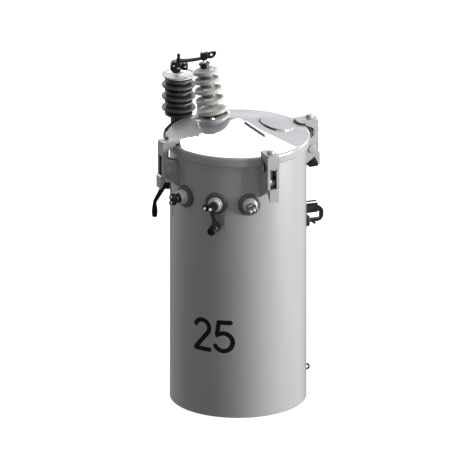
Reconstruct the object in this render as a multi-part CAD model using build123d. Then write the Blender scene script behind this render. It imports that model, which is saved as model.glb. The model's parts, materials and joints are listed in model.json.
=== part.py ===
"""Pole mounted distribution transformer: a round steel tank with a clamped conical cover,
three low voltage bushings in front, one high voltage bushing and a surge arrester on top.

Lengths are in millimetres and angles in degrees. Z is up, the tank's front faces -Y and
the origin is the centre of the tank's foot. An azimuth is measured around the tank from
its front towards +X. Radial pieces are drawn at the front and then turned to their place.
"""
import math
import os

from build123d import *

# ---------------------------------------------------------------- driving dimensions
seat_gap = 0.3              # between curved faces that seat on each other
weld_overlap = 10.0         # how far a welded piece is drawn into its neighbour, then trimmed
trim_margin = 60.0          # how far a cutting or trimming body stands past the cut
edge_round = 3.0            # small machined or cast parts

# tank
tank_radius = 203.0
tank_wall = 3.0
tank_height = 812.0
floor_thickness = 6.0
rim_width = 6.0
rim_height = 12.0

# cover
gasket_thickness = 7.0
gasket_lip = 2.0            # gasket inside the tank wall
skirt_clearance = 1.7       # between the rim bar and the inside of the skirt
skirt_depth = 28.0          # below the rim plane
rim_plane_rise = 7.0        # rim plane above the gasket
cover_rise = 50.0           # apex above the rim plane
cover_sheet = 3.0
knuckle_radius = 8.0

# blank disc and rib on the cover
disc_radius = 51.0
disc_height = 4.0
disc_round = 1.5
disc_distance = 116.0
disc_azimuth = 120.0
rib_azimuth = 65.0
rib_inner_end = 29.0
rib_outer_end = 116.0
rib_thickness = 6.0
rib_height = 6.0
rib_corner = 3.0

# cover clamps
clamp_azimuths = {"front_left": -45.0, "front_right": 45.0, "back_right": 135.0, "back_left": -135.0}
clamp_width = 37.0
clamp_plate = 4.0
clamp_web_clearance = 40.0  # from the skirt to the web's outer face
clamp_seat = 3.6            # clamp's top plate above the cone at its nose
clamp_nose_overlap = 38.0   # reach over the cover, inside the skirt
clamp_nose_depth = 6.0
clamp_corner = 9.0
clamp_web_corner = 3.8
clamp_web_foot = 95.0       # below the rim plane
clamp_heel_depth = 132.0
clamp_heel_height = 4.0
slot_width = 21.0
slot_top = 30.0
slot_foot = 93.0
throat_radius = 19.0
throat_clearance = 8.0      # from the skirt to the throat's centre
throat_centre_depth = 26.0
throat_foot_depth = 58.0
throat_lip = 4.0            # throat's upper end inside the skirt
toe_reach = 6.0             # toe's tip past the web
toe_root_inset = 16.0       # toe's root inside the web's outer face
toe_lip_inset = 3.0
toe_lip_height = 4.0
toe_lip_edge = 1.0
toe_thickness = 3.0
screw_clearance_to_skirt = 19.0
screw_radius = 6.5
screw_clearance = 1.0
washer_radius = 13.0
washer_thickness = 3.0
screw_head_across = 21.0
screw_head_height = 9.0
pin_depth = 78.0
pin_radius = 10.0
pin_head_radius = 12.5
pin_head_thickness = 4.0
lug_plate = 4.5
lug_foot = 3.5
lug_top_depth = 60.0
lug_height = 32.0
lug_tip_margin = 3.0

# low voltage bushings
low_voltage_azimuths = {"left": -30.0, "middle": 2.0, "right": 30.0}
low_voltage_drop = 150.0    # below the rim plane
seat_ring_radius = 34.0
seat_ring_height = 7.0      # from the tank wall
drum_steps = ((26.0, 4.0), (23.5, 3.0), (24.5, 7.0), (20.5, 2.5), (22.0, 5.5), (20.0, 5.0))
terminal_nut_across = 26.0
terminal_nut_height = 10.0
terminal_stud_radius = 6.0
terminal_washer_radius = 12.0
terminal_block_width = 33.0
terminal_block_depth = 18.0
terminal_block_height = 14.0
terminal_bolt_radius = 5.5
terminal_bolt_height = 7.0
terminal_bolt_pitch = 17.0
terminal_offsets = {"left": 0.0, "middle": -10.0, "right": 0.0}
terminal_turns = {"left": 90.0, "middle": 0.0, "right": 20.0}

# neutral strap, from the middle terminal to the ground boss
strap_thickness = 2.2
strap_bend = 6.0
strap_straight = 21.0       # below the terminal's centre and above the boss's centre
strap_top_eye = 12.0
strap_foot_eye = 14.0
strap_half_width = 30.0     # of the ribbon that the outline is cut from
strap_outline = (           # (to the right, below the terminal's centre)
    (-9.0, 8.0), (-6.0, 26.0), (-7.0, 43.0), (-11.0, 64.0), (-15.0, 76.0), (15.0, 78.0),
    (19.0, 70.0), (16.0, 58.0), (6.0, 40.0), (8.0, 20.0), (11.0, 4.0), (8.0, -9.0), (0.0, -12.0),
)

# ground boss and ground pad
ground_boss_drop = 75.0     # below the low voltage terminals
ground_boss_offset = -2.0
ground_boss_radius = 9.0
ground_boss_height = 11.0   # from the tank wall
ground_stud_radius = 5.0
ground_nut_across = 20.0
ground_nut_height = 8.0
ground_collar_height = 4.0
ground_head_radius = 12.0
ground_head_height = 16.0
ground_pad_width = 18.0
ground_pad_height = 32.0
ground_pad_thickness = 2.0
ground_pad_offset = 24.0
ground_pad_drop = 51.0

# high voltage bushing
bushing_distance = 78.0
bushing_azimuth = -90.0
bushing_lean = 10.0
bushing_lean_azimuth = -96.0
boss_radius = 50.0
boss_top = 7.0
boss_depth = 25.0           # drawn into the cover, then trimmed
clamp_ring_radius = 52.0
clamp_ring_thickness = 9.0
clamp_ring_bolts = 4
clamp_ring_azimuth = 20.0
clamp_ring_bolt_across = 14.0
clamp_ring_bolt_height = 6.0
bushing_foot_radius = 37.0
bushing_foot_lip = 2.0
bushing_foot_chamfer = 2.0
bushing_core_radius = 22.0
bushing_sheds = ((32.0, 47.0), (65.0, 44.0), (96.0, 42.5), (126.0, 39.0), (153.0, 37.5))
bushing_top = 163.0
bushing_shed_edge = 7.0     # half the thickness of a shed's rim
arrester_shed_edge = 4.0
shed_rise = 3.0             # of a shed's top, from the rim to the core
cap_radius = 13.0
cap_height = 11.0
cap_flange_radius = 17.0
cap_flange_height = 7.0
bushing_stud_radius = 5.0
bushing_stud_length = 7.0
wire_clamp_azimuth = 110.0  # the way the wire clamps and the eye lug point
wire_clamp_length = 24.0
wire_clamp_width = 18.0
wire_clamp_height = 24.0
wire_clamp_offset = 4.0
eye_lug_reach = 30.0
eye_lug_thickness = 10.0
eye_lug_radius = 8.0
eye_lug_rise = 4.0          # above the middle of the clamp
eye_lug_hole = 3.5
eye_lug_hole_reach = 23.0

# surge arrester
arrester_clearance = 0.5    # between the small sheds and the skirt
arrester_azimuth = -116.0
arrester_base_depth = 54.0  # below the rim plane
arrester_stem_radius = 24.0
arrester_core_radius = 30.0
arrester_skirt_foot = 14.0  # below the rim plane
arrester_sheds = (15.0, 51.0, 87.0)
arrester_shed_radius = 51.0
arrester_small_sheds = (-3.0, 33.0, 69.0, 104.0)
arrester_small_shed_radius = 42.0
arrester_top = 114.0
arrester_disc_radius = 49.0
arrester_disc_thickness = 6.0
arrester_collar_radius = 17.0
arrester_collar_height = 5.0
arrester_clamp_width = 26.0
arrester_lobe_inner = 8.0   # where the clamp's two lobes meet, from the arrester's axis
arrester_left_lobe = 33.0
arrester_left_lobe_height = 37.0
arrester_left_lobe_round = 16.0
arrester_right_lobe = 20.0
arrester_right_lobe_height = 24.0
arrester_right_lobe_round = 9.0
arrester_right_lobe_base = 8.0
arrester_bridge = 6.0       # radius of the bar that joins the lobes
arrester_nut_across = 15.0
arrester_nut_height = 13.0
arrester_nut_sink = 4.0     # its foot is let into the lobe's rounded top
arrester_stud_radius = 5.0
arrester_stud_length = 15.0

# arrester bracket
bracket_width = 56.0
bracket_plate = 5.0
bracket_reach = 32.0        # past the arrester's axis
bracket_height = 60.0
bracket_toe = 12.0          # web's foot past the tank wall
bracket_web_inset = 8.0
bracket_bolt_radius = 8.0
bracket_bolt_clearance = 1.0
bracket_bolt_tip = 1.0
bracket_nut_radius = 13.0
bracket_nut_height = 8.0

# wires
lead_radius = 2.8
jumper_radius = 3.5
jumper_sag = 3.0
lead_clearance = 5.5        # from the skirt to the ground lead's axis
lead_depth = 11.5           # below the rim plane
lead_dip = 30.0             # fall of the lead towards the stem's axis
lead_margin = 7.0           # degrees between the lead's bends and what it runs to
jumper_start = 7.0          # from the arrester's axis
jumper_rise = 8.0           # above the foot of the bushing's wire clamp

# breaker handle
handle_azimuth = -72.0
handle_drop = 165.0         # hub's centre below the rim plane
handle_hub_width = 24.0
handle_hub_height = 22.0
handle_hub_reach = 19.0     # from the tank wall
handle_rod_radius = 6.8
handle_rod_inset = 4.0      # rod's start inside the hub's face
handle_reach = 26.0         # rod's vertical end past the hub's face
handle_fall = 55.0          # from the hub's centre to the rod's elbow
handle_bend = 8.0
grip_radius = 9.0
grip_length = 43.0
grip_end = 3.0
grip_drop = 102.0           # foot of the grip below the hub's centre

# lifting lugs
lift_azimuths = {"right": 130.0, "left": -130.0}
lift_drop = 243.0           # top of the lug below the rim plane
lift_width = 34.0
lift_plate = 11.0
lift_plate_reach = 42.0     # from the tank wall, as the two below
lift_box_reach = 43.0
lift_loop_reach = 64.0
lift_box_height = 21.0
lift_box_inset = 5.0
lift_bar = 11.0
lift_loop_height = 53.0
lift_loop_overlap = 4.0
lift_loop_corner = 20.0
lift_hook_inner = 20.0      # hook under the loop, from the tank wall
lift_hook_outer = 39.0
lift_hook_depth = 11.0
lift_back = 8.0
lift_eye_margin = 2.0
lift_total = 74.0

# ground eye
eye_azimuth = 130.0
eye_height = 62.0
eye_outer_radius = 10.5
eye_bar_radius = 3.0
eye_boss_height = 5.0       # from the tank wall
eye_boss_radius = 7.0

# pole hangers
hanger_spacing = 286.0
hanger_lower_height = 300.0
hanger_width = 92.0
hanger_plate = 8.0
hanger_depth = 56.0
hanger_height = 110.0
hanger_slot_width = 22.0
hanger_slot_length = 50.0

# ---------------------------------------------------------------- derived dimensions
rim_inner = tank_radius + seat_gap
rim_outer = rim_inner + rim_width
gasket_inner = tank_radius - tank_wall - gasket_lip
gasket_top = tank_height + gasket_thickness
rim_plane = gasket_top + rim_plane_rise
apex = rim_plane + cover_rise
skirt_inner = rim_outer + skirt_clearance
skirt_radius = skirt_inner + cover_sheet
cone_slope = cover_rise / (skirt_radius - knuckle_radius)
cone_angle = math.degrees(math.atan(cone_slope))
skirt_foot = rim_plane - skirt_depth
weld_start = tank_radius - weld_overlap

clamp_inner_width = clamp_width - 2 * clamp_plate
clamp_web_radius = skirt_radius + clamp_web_clearance
clamp_web_inner = clamp_web_radius - clamp_plate
clamp_web_foot_height = rim_plane - clamp_web_foot
clamp_nose_radius = skirt_radius - clamp_nose_overlap
clamp_top_underside = apex - cone_slope * clamp_nose_radius + clamp_seat
clamp_top = clamp_top_underside + clamp_plate
clamp_heel = rim_plane - clamp_heel_depth
throat_centre_radius = skirt_radius + throat_clearance
throat_centre_height = rim_plane - throat_centre_depth
toe_radius = clamp_web_radius + toe_reach
screw_distance = skirt_radius + screw_clearance_to_skirt
pin_height = rim_plane - pin_depth
lug_top = rim_plane - lug_top_depth
lug_tip = screw_distance + pin_radius + lug_tip_margin

low_voltage_height = rim_plane - low_voltage_drop
seat_ring_face = tank_radius + seat_ring_height
drum_end = tank_radius + sum(length for radius, length in drum_steps)
terminal_nut_face = drum_end + terminal_nut_height
ground_boss_centre = low_voltage_height - ground_boss_drop
ground_boss_face = tank_radius + ground_boss_height

bushing_ring_top = boss_top + clamp_ring_thickness
cap_top = bushing_top + cap_height + cap_flange_height
wire_clamp_base = cap_top + bushing_stud_length
arrester_distance = skirt_radius + arrester_small_shed_radius + arrester_clearance
arrester_disc_top = arrester_top + arrester_disc_thickness
arrester_clamp_base = arrester_disc_top + arrester_collar_height
bracket_end = arrester_distance + bracket_reach

handle_height = rim_plane - handle_drop
handle_hub_face = tank_radius + handle_hub_reach
handle_radius = handle_hub_face + handle_reach
grip_foot = handle_height - grip_drop
lift_height = rim_plane - lift_drop
lift_underside = lift_height - lift_plate
hanger_heights = {"upper": hanger_lower_height + hanger_spacing, "lower": hanger_lower_height}

# ---------------------------------------------------------------- helpers
front_section = Plane(origin=(0, 0, 0), x_dir=(0, -1, 0), z_dir=(-1, 0, 0))
parts = {}


def upright(radius, height, base=0.0):
    """Cylinder on the Z axis that stands on base."""
    return Pos(0, 0, base) * Cylinder(radius, height, align=(Align.CENTER, Align.CENTER, Align.MIN))


def ring(outer, inner, height, base=0.0):
    """Upright ring."""
    return upright(outer, height, base) - upright(inner, height, base)


def hexagon(across, height, base=0.0):
    """Hexagonal head that stands on base."""
    return Pos(0, 0, base) * extrude(RegularPolygon(across / 2, 6, major_radius=False), height)


def standing_box(length, width, height, base=0.0):
    """Box centred on the Z axis that stands on base."""
    return Pos(0, 0, base) * Box(length, width, height, align=(Align.CENTER, Align.CENTER, Align.MIN))


def outward(shape, start, height, offset=0.0):
    """Lay a shape drawn along +Z down so that it points out of the tank's front."""
    return Pos(offset, -start, height) * Rot(90, 0, 0) * shape


def sideways(radius, length):
    """Cylinder centred on the origin that lies along X."""
    return Rot(0, 90, 0) * Cylinder(radius, length)


def front_plate(points, thickness, offset=0.0):
    """Plate whose outline is given as (distance from the axis, height), seen from the side."""
    outline = front_section * Polygon(*points, align=None)
    return Pos(offset, 0, 0) * extrude(outline, thickness / 2, both=True)


def front_box(inner, outer, width, low, high, offset=0.0):
    """Box between two distances from the axis and two heights."""
    size = Box(width, outer - inner, high - low, align=(Align.CENTER, Align.MAX, Align.MIN))
    return Pos(offset, -inner, low) * size


def turned(shape, azimuth):
    """Turn a piece drawn at the front to its azimuth."""
    return Rot(0, 0, azimuth) * shape


def revolved(points):
    """Solid of revolution around Z from (radius, height) points."""
    return revolve(Plane.XZ * Polygon(*points, align=None), axis=Axis.Z)


def tank_block(grow=0.0):
    """The tank's outer cylinder as a solid, to trim what is welded to it."""
    return upright(tank_radius + grow, tank_height + 2 * trim_margin, -trim_margin)


def cover_block(grow=0.0):
    """The cover's outside as a solid, to trim what sits on it."""
    radius = skirt_radius + grow
    top = apex + grow / math.cos(math.radians(cone_angle))
    shoulder = top - cone_slope * radius
    block = revolved([(0, skirt_foot), (radius, skirt_foot), (radius, shoulder), (0, top)])
    rim = block.edges().filter_by(GeomType.CIRCLE).sort_by(Axis.Z)[-1]
    return fillet(rim, knuckle_radius + grow)


def cover_height(radius):
    """Height of the cone's surface at a distance from the axis."""
    return apex - cone_slope * radius


def shed_profile(core, sheds, edge, low, high):
    """Half outline of an insulator: a core with drooping sheds at (height, radius)."""
    points = [(0, low), (core, low)]
    for height, radius in sorted(sheds):
        points += [
            (core, height - edge),
            (radius - edge / 2, height - edge),
            (radius, height - edge / 2),
            (radius, height + edge / 2),
            (radius - edge / 2, height + edge),
            (core, height + edge + shed_rise),
        ]
    points += [(core, high), (0, high)]
    return points


# ---------------------------------------------------------------- tank
def make_tank():
    parts["tank_shell"] = ring(tank_radius, tank_radius - tank_wall, tank_height)
    parts["tank_floor"] = upright(tank_radius - tank_wall - seat_gap, floor_thickness)
    parts["tank_rim"] = ring(rim_outer, rim_inner, rim_height, tank_height - rim_height)


# ---------------------------------------------------------------- cover
def make_cover():
    parts["cover_gasket"] = ring(rim_outer, gasket_inner, gasket_thickness, tank_height)
    under_apex = apex - cover_sheet / math.cos(math.radians(cone_angle))
    inside = revolved([
        (0, skirt_foot),
        (skirt_inner, skirt_foot),
        (skirt_inner, gasket_top),
        (gasket_inner, gasket_top),
        (gasket_inner, under_apex - cone_slope * gasket_inner),
        (0, under_apex),
    ])
    parts["cover"] = cover_block() - inside

    disc = upright(disc_radius, disc_height + weld_overlap, -weld_overlap)
    disc = fillet(disc.edges().filter_by(GeomType.CIRCLE).sort_by(Axis.Z)[-1], disc_round)
    disc = Pos(0, -disc_distance, cover_height(disc_distance)) * Rot(cone_angle, 0, 0) * disc
    parts["cover_blank_disc"] = turned(disc - cover_block(seat_gap), disc_azimuth)

    rib = front_plate([
        (rib_inner_end, cover_height(rib_inner_end) - weld_overlap),
        (rib_outer_end, cover_height(rib_outer_end) - weld_overlap),
        (rib_outer_end, cover_height(rib_outer_end) + rib_height),
        (rib_inner_end, cover_height(rib_inner_end) + rib_height),
    ], rib_thickness)
    ends = rib.edges().filter_by(Axis.X).sort_by(Axis.Y)
    upper_ends = [ends[0:2].sort_by(Axis.Z)[-1], ends[-2:].sort_by(Axis.Z)[-1]]
    rib = fillet(upper_ends, rib_corner)
    parts["cover_rib"] = turned(rib - cover_block(seat_gap), rib_azimuth)


# ---------------------------------------------------------------- cover clamps
def clamp_flange(side):
    """One side cheek of a clamp, with the throat that goes around the cover's skirt."""
    cheek = front_plate([
        (clamp_web_radius, clamp_top_underside),
        (clamp_nose_radius, clamp_top_underside),
        (clamp_nose_radius, clamp_top_underside - clamp_nose_depth),
        (weld_start, clamp_heel - clamp_heel_height),
        (clamp_web_radius, clamp_web_foot_height),
    ], clamp_plate, side * (clamp_width - clamp_plate) / 2)
    throat = front_plate([
        (throat_centre_radius, throat_centre_height - throat_radius),
        (weld_start, rim_plane - throat_foot_depth),
        (weld_start, rim_plane),
        (skirt_radius - throat_lip, rim_plane),
        (throat_centre_radius, throat_centre_height + throat_radius),
    ], clamp_width)
    bend = Pos(0, -throat_centre_radius, throat_centre_height) * sideways(throat_radius, clamp_width)
    return cheek - throat - bend


def make_clamp_body():
    web = front_box(clamp_web_inner, clamp_web_radius, clamp_width,
                    clamp_web_foot_height, clamp_top_underside)
    web = fillet(web.edges().filter_by(Axis.Z).sort_by(Axis.Y)[0:2], clamp_web_corner)
    top = front_box(clamp_nose_radius, clamp_web_radius, clamp_width, clamp_top_underside, clamp_top)
    top = fillet(top.edges().filter_by(Axis.Z).sort_by(Axis.Y)[0:2], clamp_corner)
    slot = front_box(clamp_web_inner - clamp_plate, clamp_web_radius + clamp_plate, slot_width,
                     rim_plane - slot_foot, rim_plane - slot_top)
    toe = front_plate([
        (clamp_web_radius - toe_root_inset, clamp_web_foot_height),
        (toe_radius - toe_lip_inset, clamp_web_foot_height + toe_lip_height),
        (toe_radius, clamp_web_foot_height + toe_lip_edge),
        (toe_radius, clamp_heel),
        (toe_radius - toe_thickness, clamp_heel),
    ], clamp_inner_width)
    pin_hole = Pos(0, -screw_distance, pin_height) * sideways(pin_radius + seat_gap, clamp_width)
    screw_hole = upright(screw_radius + screw_clearance, trim_margin, rim_plane)
    body = web + top + clamp_flange(-1) + clamp_flange(1)
    body = body - slot + toe
    body = body - pin_hole - Pos(0, -screw_distance, 0) * screw_hole
    return body - tank_block(seat_gap) - cover_block(seat_gap)


def make_clamp_screw():
    washer = upright(washer_radius, washer_thickness, clamp_top)
    head = hexagon(screw_head_across, screw_head_height, clamp_top + washer_thickness)
    shank_foot = pin_height - pin_radius
    shank = upright(screw_radius, clamp_top - shank_foot, shank_foot)
    return Pos(0, -screw_distance, 0) * (washer + head + shank)


def make_clamp_pin():
    shaft = sideways(pin_radius, clamp_width)
    for side in (-1, 1):
        head = sideways(pin_head_radius, pin_head_thickness)
        shaft += Pos(side * (clamp_width + pin_head_thickness) / 2, 0, 0) * head
    pin = shaft - Cylinder(screw_radius + seat_gap, 4 * pin_radius)
    return Pos(0, -screw_distance, pin_height) * pin


def make_clamp_lug():
    width = clamp_inner_width - 2 * seat_gap
    low = lug_top - lug_height
    block = front_box(weld_start, lug_tip, width, low, lug_top)
    throat = front_box(tank_radius + lug_foot, lug_tip + lug_foot, width - 2 * lug_plate,
                       low - lug_foot, lug_top + lug_foot)
    pin_hole = Pos(0, -screw_distance, pin_height) * sideways(pin_radius + seat_gap, clamp_width)
    return block - throat - pin_hole - tank_block(seat_gap)


def make_clamps():
    body, screw, pin, lug = make_clamp_body(), make_clamp_screw(), make_clamp_pin(), make_clamp_lug()
    azimuths = clamp_azimuths.values()
    for place, azimuth in clamp_azimuths.items():
        parts[f"cover_clamp_{place}"] = turned(body, azimuth)
    parts["clamp_screws"] = Compound([turned(screw, azimuth) for azimuth in azimuths])
    parts["clamp_pins"] = Compound([turned(pin, azimuth) for azimuth in azimuths])
    parts["clamp_lugs"] = Compound([turned(lug, azimuth) for azimuth in azimuths])


# ---------------------------------------------------------------- low voltage bushings
def make_terminal(with_washer, offset):
    """Nut, stud, washer and wire clamp of one bushing, drawn along +Z from the drum's end."""
    plate_top = terminal_nut_height + strap_thickness
    terminal = hexagon(terminal_nut_across, terminal_nut_height)
    terminal += upright(terminal_stud_radius, strap_thickness, terminal_nut_height)
    if with_washer:
        terminal += upright(terminal_washer_radius, strap_thickness, terminal_nut_height)
    block = standing_box(terminal_block_width, terminal_block_depth, terminal_block_height, plate_top)
    terminal += Pos(offset, 0, 0) * fillet(block.edges().filter_by(Axis.Z), edge_round)
    for side in (-0.5, 0.5):
        bolt = upright(terminal_bolt_radius, terminal_bolt_height, plate_top + terminal_block_height)
        terminal += Pos(side * terminal_bolt_pitch + offset, 0, 0) * bolt
    return terminal


def make_low_voltage_bushings():
    foot_radius, foot_height = drum_steps[0]
    seat = ring(seat_ring_radius, foot_radius + seat_gap, seat_ring_height + weld_overlap)
    seat = outward(seat, weld_start, low_voltage_height) - tank_block(seat_gap)
    points = [(0, 0), (foot_radius, 0)]
    distance = weld_overlap
    for radius, length in drum_steps:
        points += [(radius, distance), (radius, distance + length)]
        distance += length
    points.append((0, distance))
    points.remove((foot_radius, weld_overlap))
    drum = outward(revolved(points), weld_start, low_voltage_height) - tank_block(seat_gap)
    azimuths = low_voltage_azimuths.values()
    parts["low_voltage_seats"] = Compound([turned(seat, azimuth) for azimuth in azimuths])
    parts["low_voltage_bushings"] = Compound([turned(drum, azimuth) for azimuth in azimuths])
    for place, azimuth in low_voltage_azimuths.items():
        terminal = make_terminal(place != "middle", terminal_offsets[place])
        terminal = Rot(0, 0, terminal_turns[place]) * terminal
        terminal = outward(terminal, drum_end, low_voltage_height)
        parts[f"low_voltage_terminal_{place}"] = turned(terminal, azimuth)


# ---------------------------------------------------------------- neutral strap
def make_neutral_strap():
    top_layer = terminal_nut_face + strap_thickness / 2
    foot_layer = ground_boss_face + strap_thickness / 2
    path = FilletPolyline(
        (0, -top_layer, low_voltage_height + strap_half_width),
        (0, -top_layer, low_voltage_height - strap_straight),
        (0, -foot_layer, ground_boss_centre + strap_straight),
        (0, -foot_layer, ground_boss_centre - strap_half_width),
        radius=strap_bend,
    )
    section = Rectangle(2 * strap_half_width, strap_thickness)
    ribbon = sweep(Plane(origin=path @ 0, z_dir=path % 0, x_dir=(1, 0, 0)) * section, path=path)
    outline = Polygon(*[(right, -below) for right, below in strap_outline], align=None)
    outline += Circle(strap_top_eye)
    outline += Pos(ground_boss_offset, -ground_boss_drop) * Circle(strap_foot_eye)
    outline -= Circle(terminal_stud_radius + seat_gap)
    outline -= Pos(ground_boss_offset, -ground_boss_drop) * Circle(ground_stud_radius + seat_gap)
    blank = extrude(outline, terminal_nut_face + 2 * strap_thickness, dir=(0, 0, 1))
    strap = ribbon & outward(blank, 0, low_voltage_height)
    parts["neutral_strap"] = turned(strap, low_voltage_azimuths["middle"])


def make_ground_boss():
    def on_boss(shape, start):
        shape = outward(shape, start, ground_boss_centre, ground_boss_offset)
        return turned(shape, low_voltage_azimuths["middle"])

    boss = on_boss(upright(ground_boss_radius, ground_boss_height + weld_overlap), weld_start)
    nut_base = ground_boss_face + strap_thickness
    stud_length = strap_thickness + ground_nut_height + ground_collar_height
    parts["ground_boss"] = boss - tank_block(seat_gap)
    nut = hexagon(ground_nut_across, ground_nut_height)
    parts["ground_nut"] = on_boss(nut - upright(ground_stud_radius + seat_gap, ground_nut_height), nut_base)
    head = upright(ground_head_radius, ground_head_height, stud_length)
    head = fillet(head.edges().filter_by(GeomType.CIRCLE).sort_by(Axis.Z)[-1], edge_round)
    parts["ground_screw"] = on_boss(upright(ground_stud_radius, stud_length) + head, ground_boss_face)

    pad_centre = low_voltage_height - ground_pad_drop
    pad = front_box(weld_start, tank_radius + ground_pad_thickness, ground_pad_width,
                    pad_centre - ground_pad_height / 2, pad_centre + ground_pad_height / 2,
                    ground_pad_offset)
    parts["ground_pad"] = pad - tank_block(seat_gap)


# ---------------------------------------------------------------- high voltage bushing
bushing_place = (
    Rot(0, 0, bushing_azimuth)
    * Pos(0, -bushing_distance, cover_height(bushing_distance))
    * Rot(0, 0, bushing_lean_azimuth - bushing_azimuth)
    * Rot(bushing_lean, 0, 0)
)
wire_clamp_place = bushing_place * Rot(0, 0, wire_clamp_azimuth - bushing_lean_azimuth)


def make_high_voltage_bushing():
    boss = bushing_place * upright(boss_radius, boss_top + boss_depth, -boss_depth)
    parts["bushing_boss"] = boss - cover_block(seat_gap)
    clamp_ring = ring(clamp_ring_radius, bushing_foot_radius + seat_gap, clamp_ring_thickness, boss_top)
    rims = clamp_ring.edges().filter_by(GeomType.CIRCLE).group_by(Axis.Z)[-1]
    clamp_ring = fillet(rims.sort_by(SortBy.LENGTH)[-1], edge_round)
    bolt_circle = (clamp_ring_radius + bushing_foot_radius) / 2
    for index in range(clamp_ring_bolts):
        bolt = hexagon(clamp_ring_bolt_across, clamp_ring_bolt_height, bushing_ring_top)
        clamp_ring += Rot(0, 0, 360 / clamp_ring_bolts * index) * Pos(0, -bolt_circle, 0) * bolt
    ring_turn = Rot(0, 0, clamp_ring_azimuth - bushing_lean_azimuth)
    parts["bushing_clamp_ring"] = bushing_place * ring_turn * clamp_ring
    outline = shed_profile(bushing_core_radius, bushing_sheds, bushing_shed_edge, boss_top, bushing_top)
    outline[1:2] = [
        (bushing_foot_radius, boss_top),
        (bushing_foot_radius, bushing_ring_top + bushing_foot_lip),
        (bushing_core_radius, bushing_ring_top + bushing_foot_lip + bushing_foot_chamfer),
    ]
    parts["high_voltage_bushing"] = bushing_place * revolved(outline)
    flange = upright(cap_flange_radius, cap_flange_height, bushing_top + cap_height)
    flange = fillet(flange.edges().filter_by(GeomType.CIRCLE), edge_round / 2)
    parts["bushing_cap"] = bushing_place * (upright(cap_radius, cap_height, bushing_top) + flange)
    parts["bushing_stud"] = bushing_place * upright(bushing_stud_radius, bushing_stud_length, cap_top)

    middle = wire_clamp_base + wire_clamp_height / 2
    block = standing_box(wire_clamp_width, wire_clamp_length, wire_clamp_height, wire_clamp_base)
    block = Pos(0, -wire_clamp_offset, 0) * fillet(block.edges(), edge_round)
    lug_sides = (Align.CENTER, Align.MAX, Align.CENTER)
    lug = Box(eye_lug_thickness, eye_lug_reach, 2 * eye_lug_radius, align=lug_sides)
    lug += Pos(0, -eye_lug_reach, 0) * sideways(eye_lug_radius, eye_lug_thickness)
    lug -= Pos(0, -eye_lug_hole_reach, 0) * sideways(eye_lug_hole, eye_lug_thickness)
    parts["bushing_wire_clamp"] = wire_clamp_place * (block + Pos(0, 0, middle + eye_lug_rise) * lug)


# ---------------------------------------------------------------- surge arrester
arrester_place = Rot(0, 0, arrester_azimuth) * Pos(0, -arrester_distance, rim_plane)
line_clamp_place = arrester_place * Rot(0, 0, wire_clamp_azimuth - arrester_azimuth)


def make_arrester_bracket():
    plate_top = rim_plane - arrester_base_depth
    plate_foot = plate_top - bracket_plate
    bracket = front_box(weld_start, bracket_end, bracket_width, plate_foot, plate_top)
    for side in (-1, 1):
        bracket += front_plate([
            (weld_start, plate_foot),
            (bracket_end - bracket_web_inset, plate_foot),
            (tank_radius + bracket_toe, plate_top - bracket_height),
            (weld_start, plate_top - bracket_height),
        ], bracket_plate, side * (bracket_width - bracket_plate) / 2)
    bolt_hole = upright(bracket_bolt_radius + bracket_bolt_clearance, bracket_plate, plate_foot)
    bracket = bracket - Pos(0, -arrester_distance, 0) * bolt_hole - tank_block(seat_gap)
    parts["arrester_bracket"] = turned(bracket, arrester_azimuth)


def make_arrester():
    bracket_foot = -arrester_base_depth - bracket_plate
    stem = upright(arrester_stem_radius, arrester_base_depth - arrester_skirt_foot, -arrester_base_depth)
    stem += upright(bracket_bolt_radius, bracket_plate + bracket_bolt_tip, bracket_foot)
    stem += upright(bracket_nut_radius, bracket_nut_height, bracket_foot - bracket_nut_height)
    parts["arrester_stem"] = arrester_place * stem

    sheds = [(height, arrester_shed_radius) for height in arrester_sheds]
    sheds += [(height, arrester_small_shed_radius) for height in arrester_small_sheds]
    outline = shed_profile(
        arrester_core_radius, sheds, arrester_shed_edge, -arrester_skirt_foot, arrester_top
    )
    outline[1:2] = [(arrester_stem_radius, -arrester_skirt_foot)]
    parts["arrester_body"] = arrester_place * revolved(outline)
    disc = upright(arrester_disc_radius, arrester_disc_thickness, arrester_top)
    disc = fillet(disc.edges().filter_by(GeomType.CIRCLE), disc_round)
    collar = upright(arrester_collar_radius, arrester_collar_height, arrester_disc_top)
    parts["arrester_top"] = arrester_place * (disc + collar)

    left = standing_box(arrester_clamp_width, arrester_left_lobe, arrester_left_lobe_height)
    left = fillet(left.edges().filter_by(Axis.X), arrester_left_lobe_round)
    right = standing_box(arrester_clamp_width, arrester_right_lobe, arrester_right_lobe_height)
    right = fillet(right.edges().filter_by(Axis.X), arrester_right_lobe_round)
    clamp = Pos(0, -arrester_lobe_inner + arrester_left_lobe / 2, 0) * left
    right_middle = arrester_lobe_inner + arrester_right_lobe / 2
    clamp += Pos(0, -right_middle, arrester_right_lobe_base) * right
    bridge = sideways(arrester_bridge, arrester_clamp_width)
    clamp += Pos(0, -arrester_lobe_inner, arrester_left_lobe_height / 2) * bridge
    clamp += hexagon(arrester_nut_across, arrester_nut_height, arrester_left_lobe_height - arrester_nut_sink)
    nut_top = arrester_left_lobe_height - arrester_nut_sink + arrester_nut_height
    clamp += upright(arrester_stud_radius, arrester_stud_length, nut_top)
    parts["arrester_clamp"] = line_clamp_place * Pos(0, 0, arrester_clamp_base) * clamp


# ---------------------------------------------------------------- wires
def round_wire(radius, *runs):
    """Round wire along runs that meet end to end, with a rounded corner where they meet."""
    wire = None
    for run in runs:
        section = Plane(origin=run @ 0, z_dir=run % 0) * Circle(radius)
        length = sweep(section, path=run)
        wire = length if wire is None else wire + Pos(*(run @ 0)) * Sphere(radius) + length
    return wire


def at_azimuth(distance, azimuth, height):
    """Point at a distance from the tank's axis."""
    angle = math.radians(azimuth)
    return (distance * math.sin(angle), -distance * math.cos(angle), height)


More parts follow.
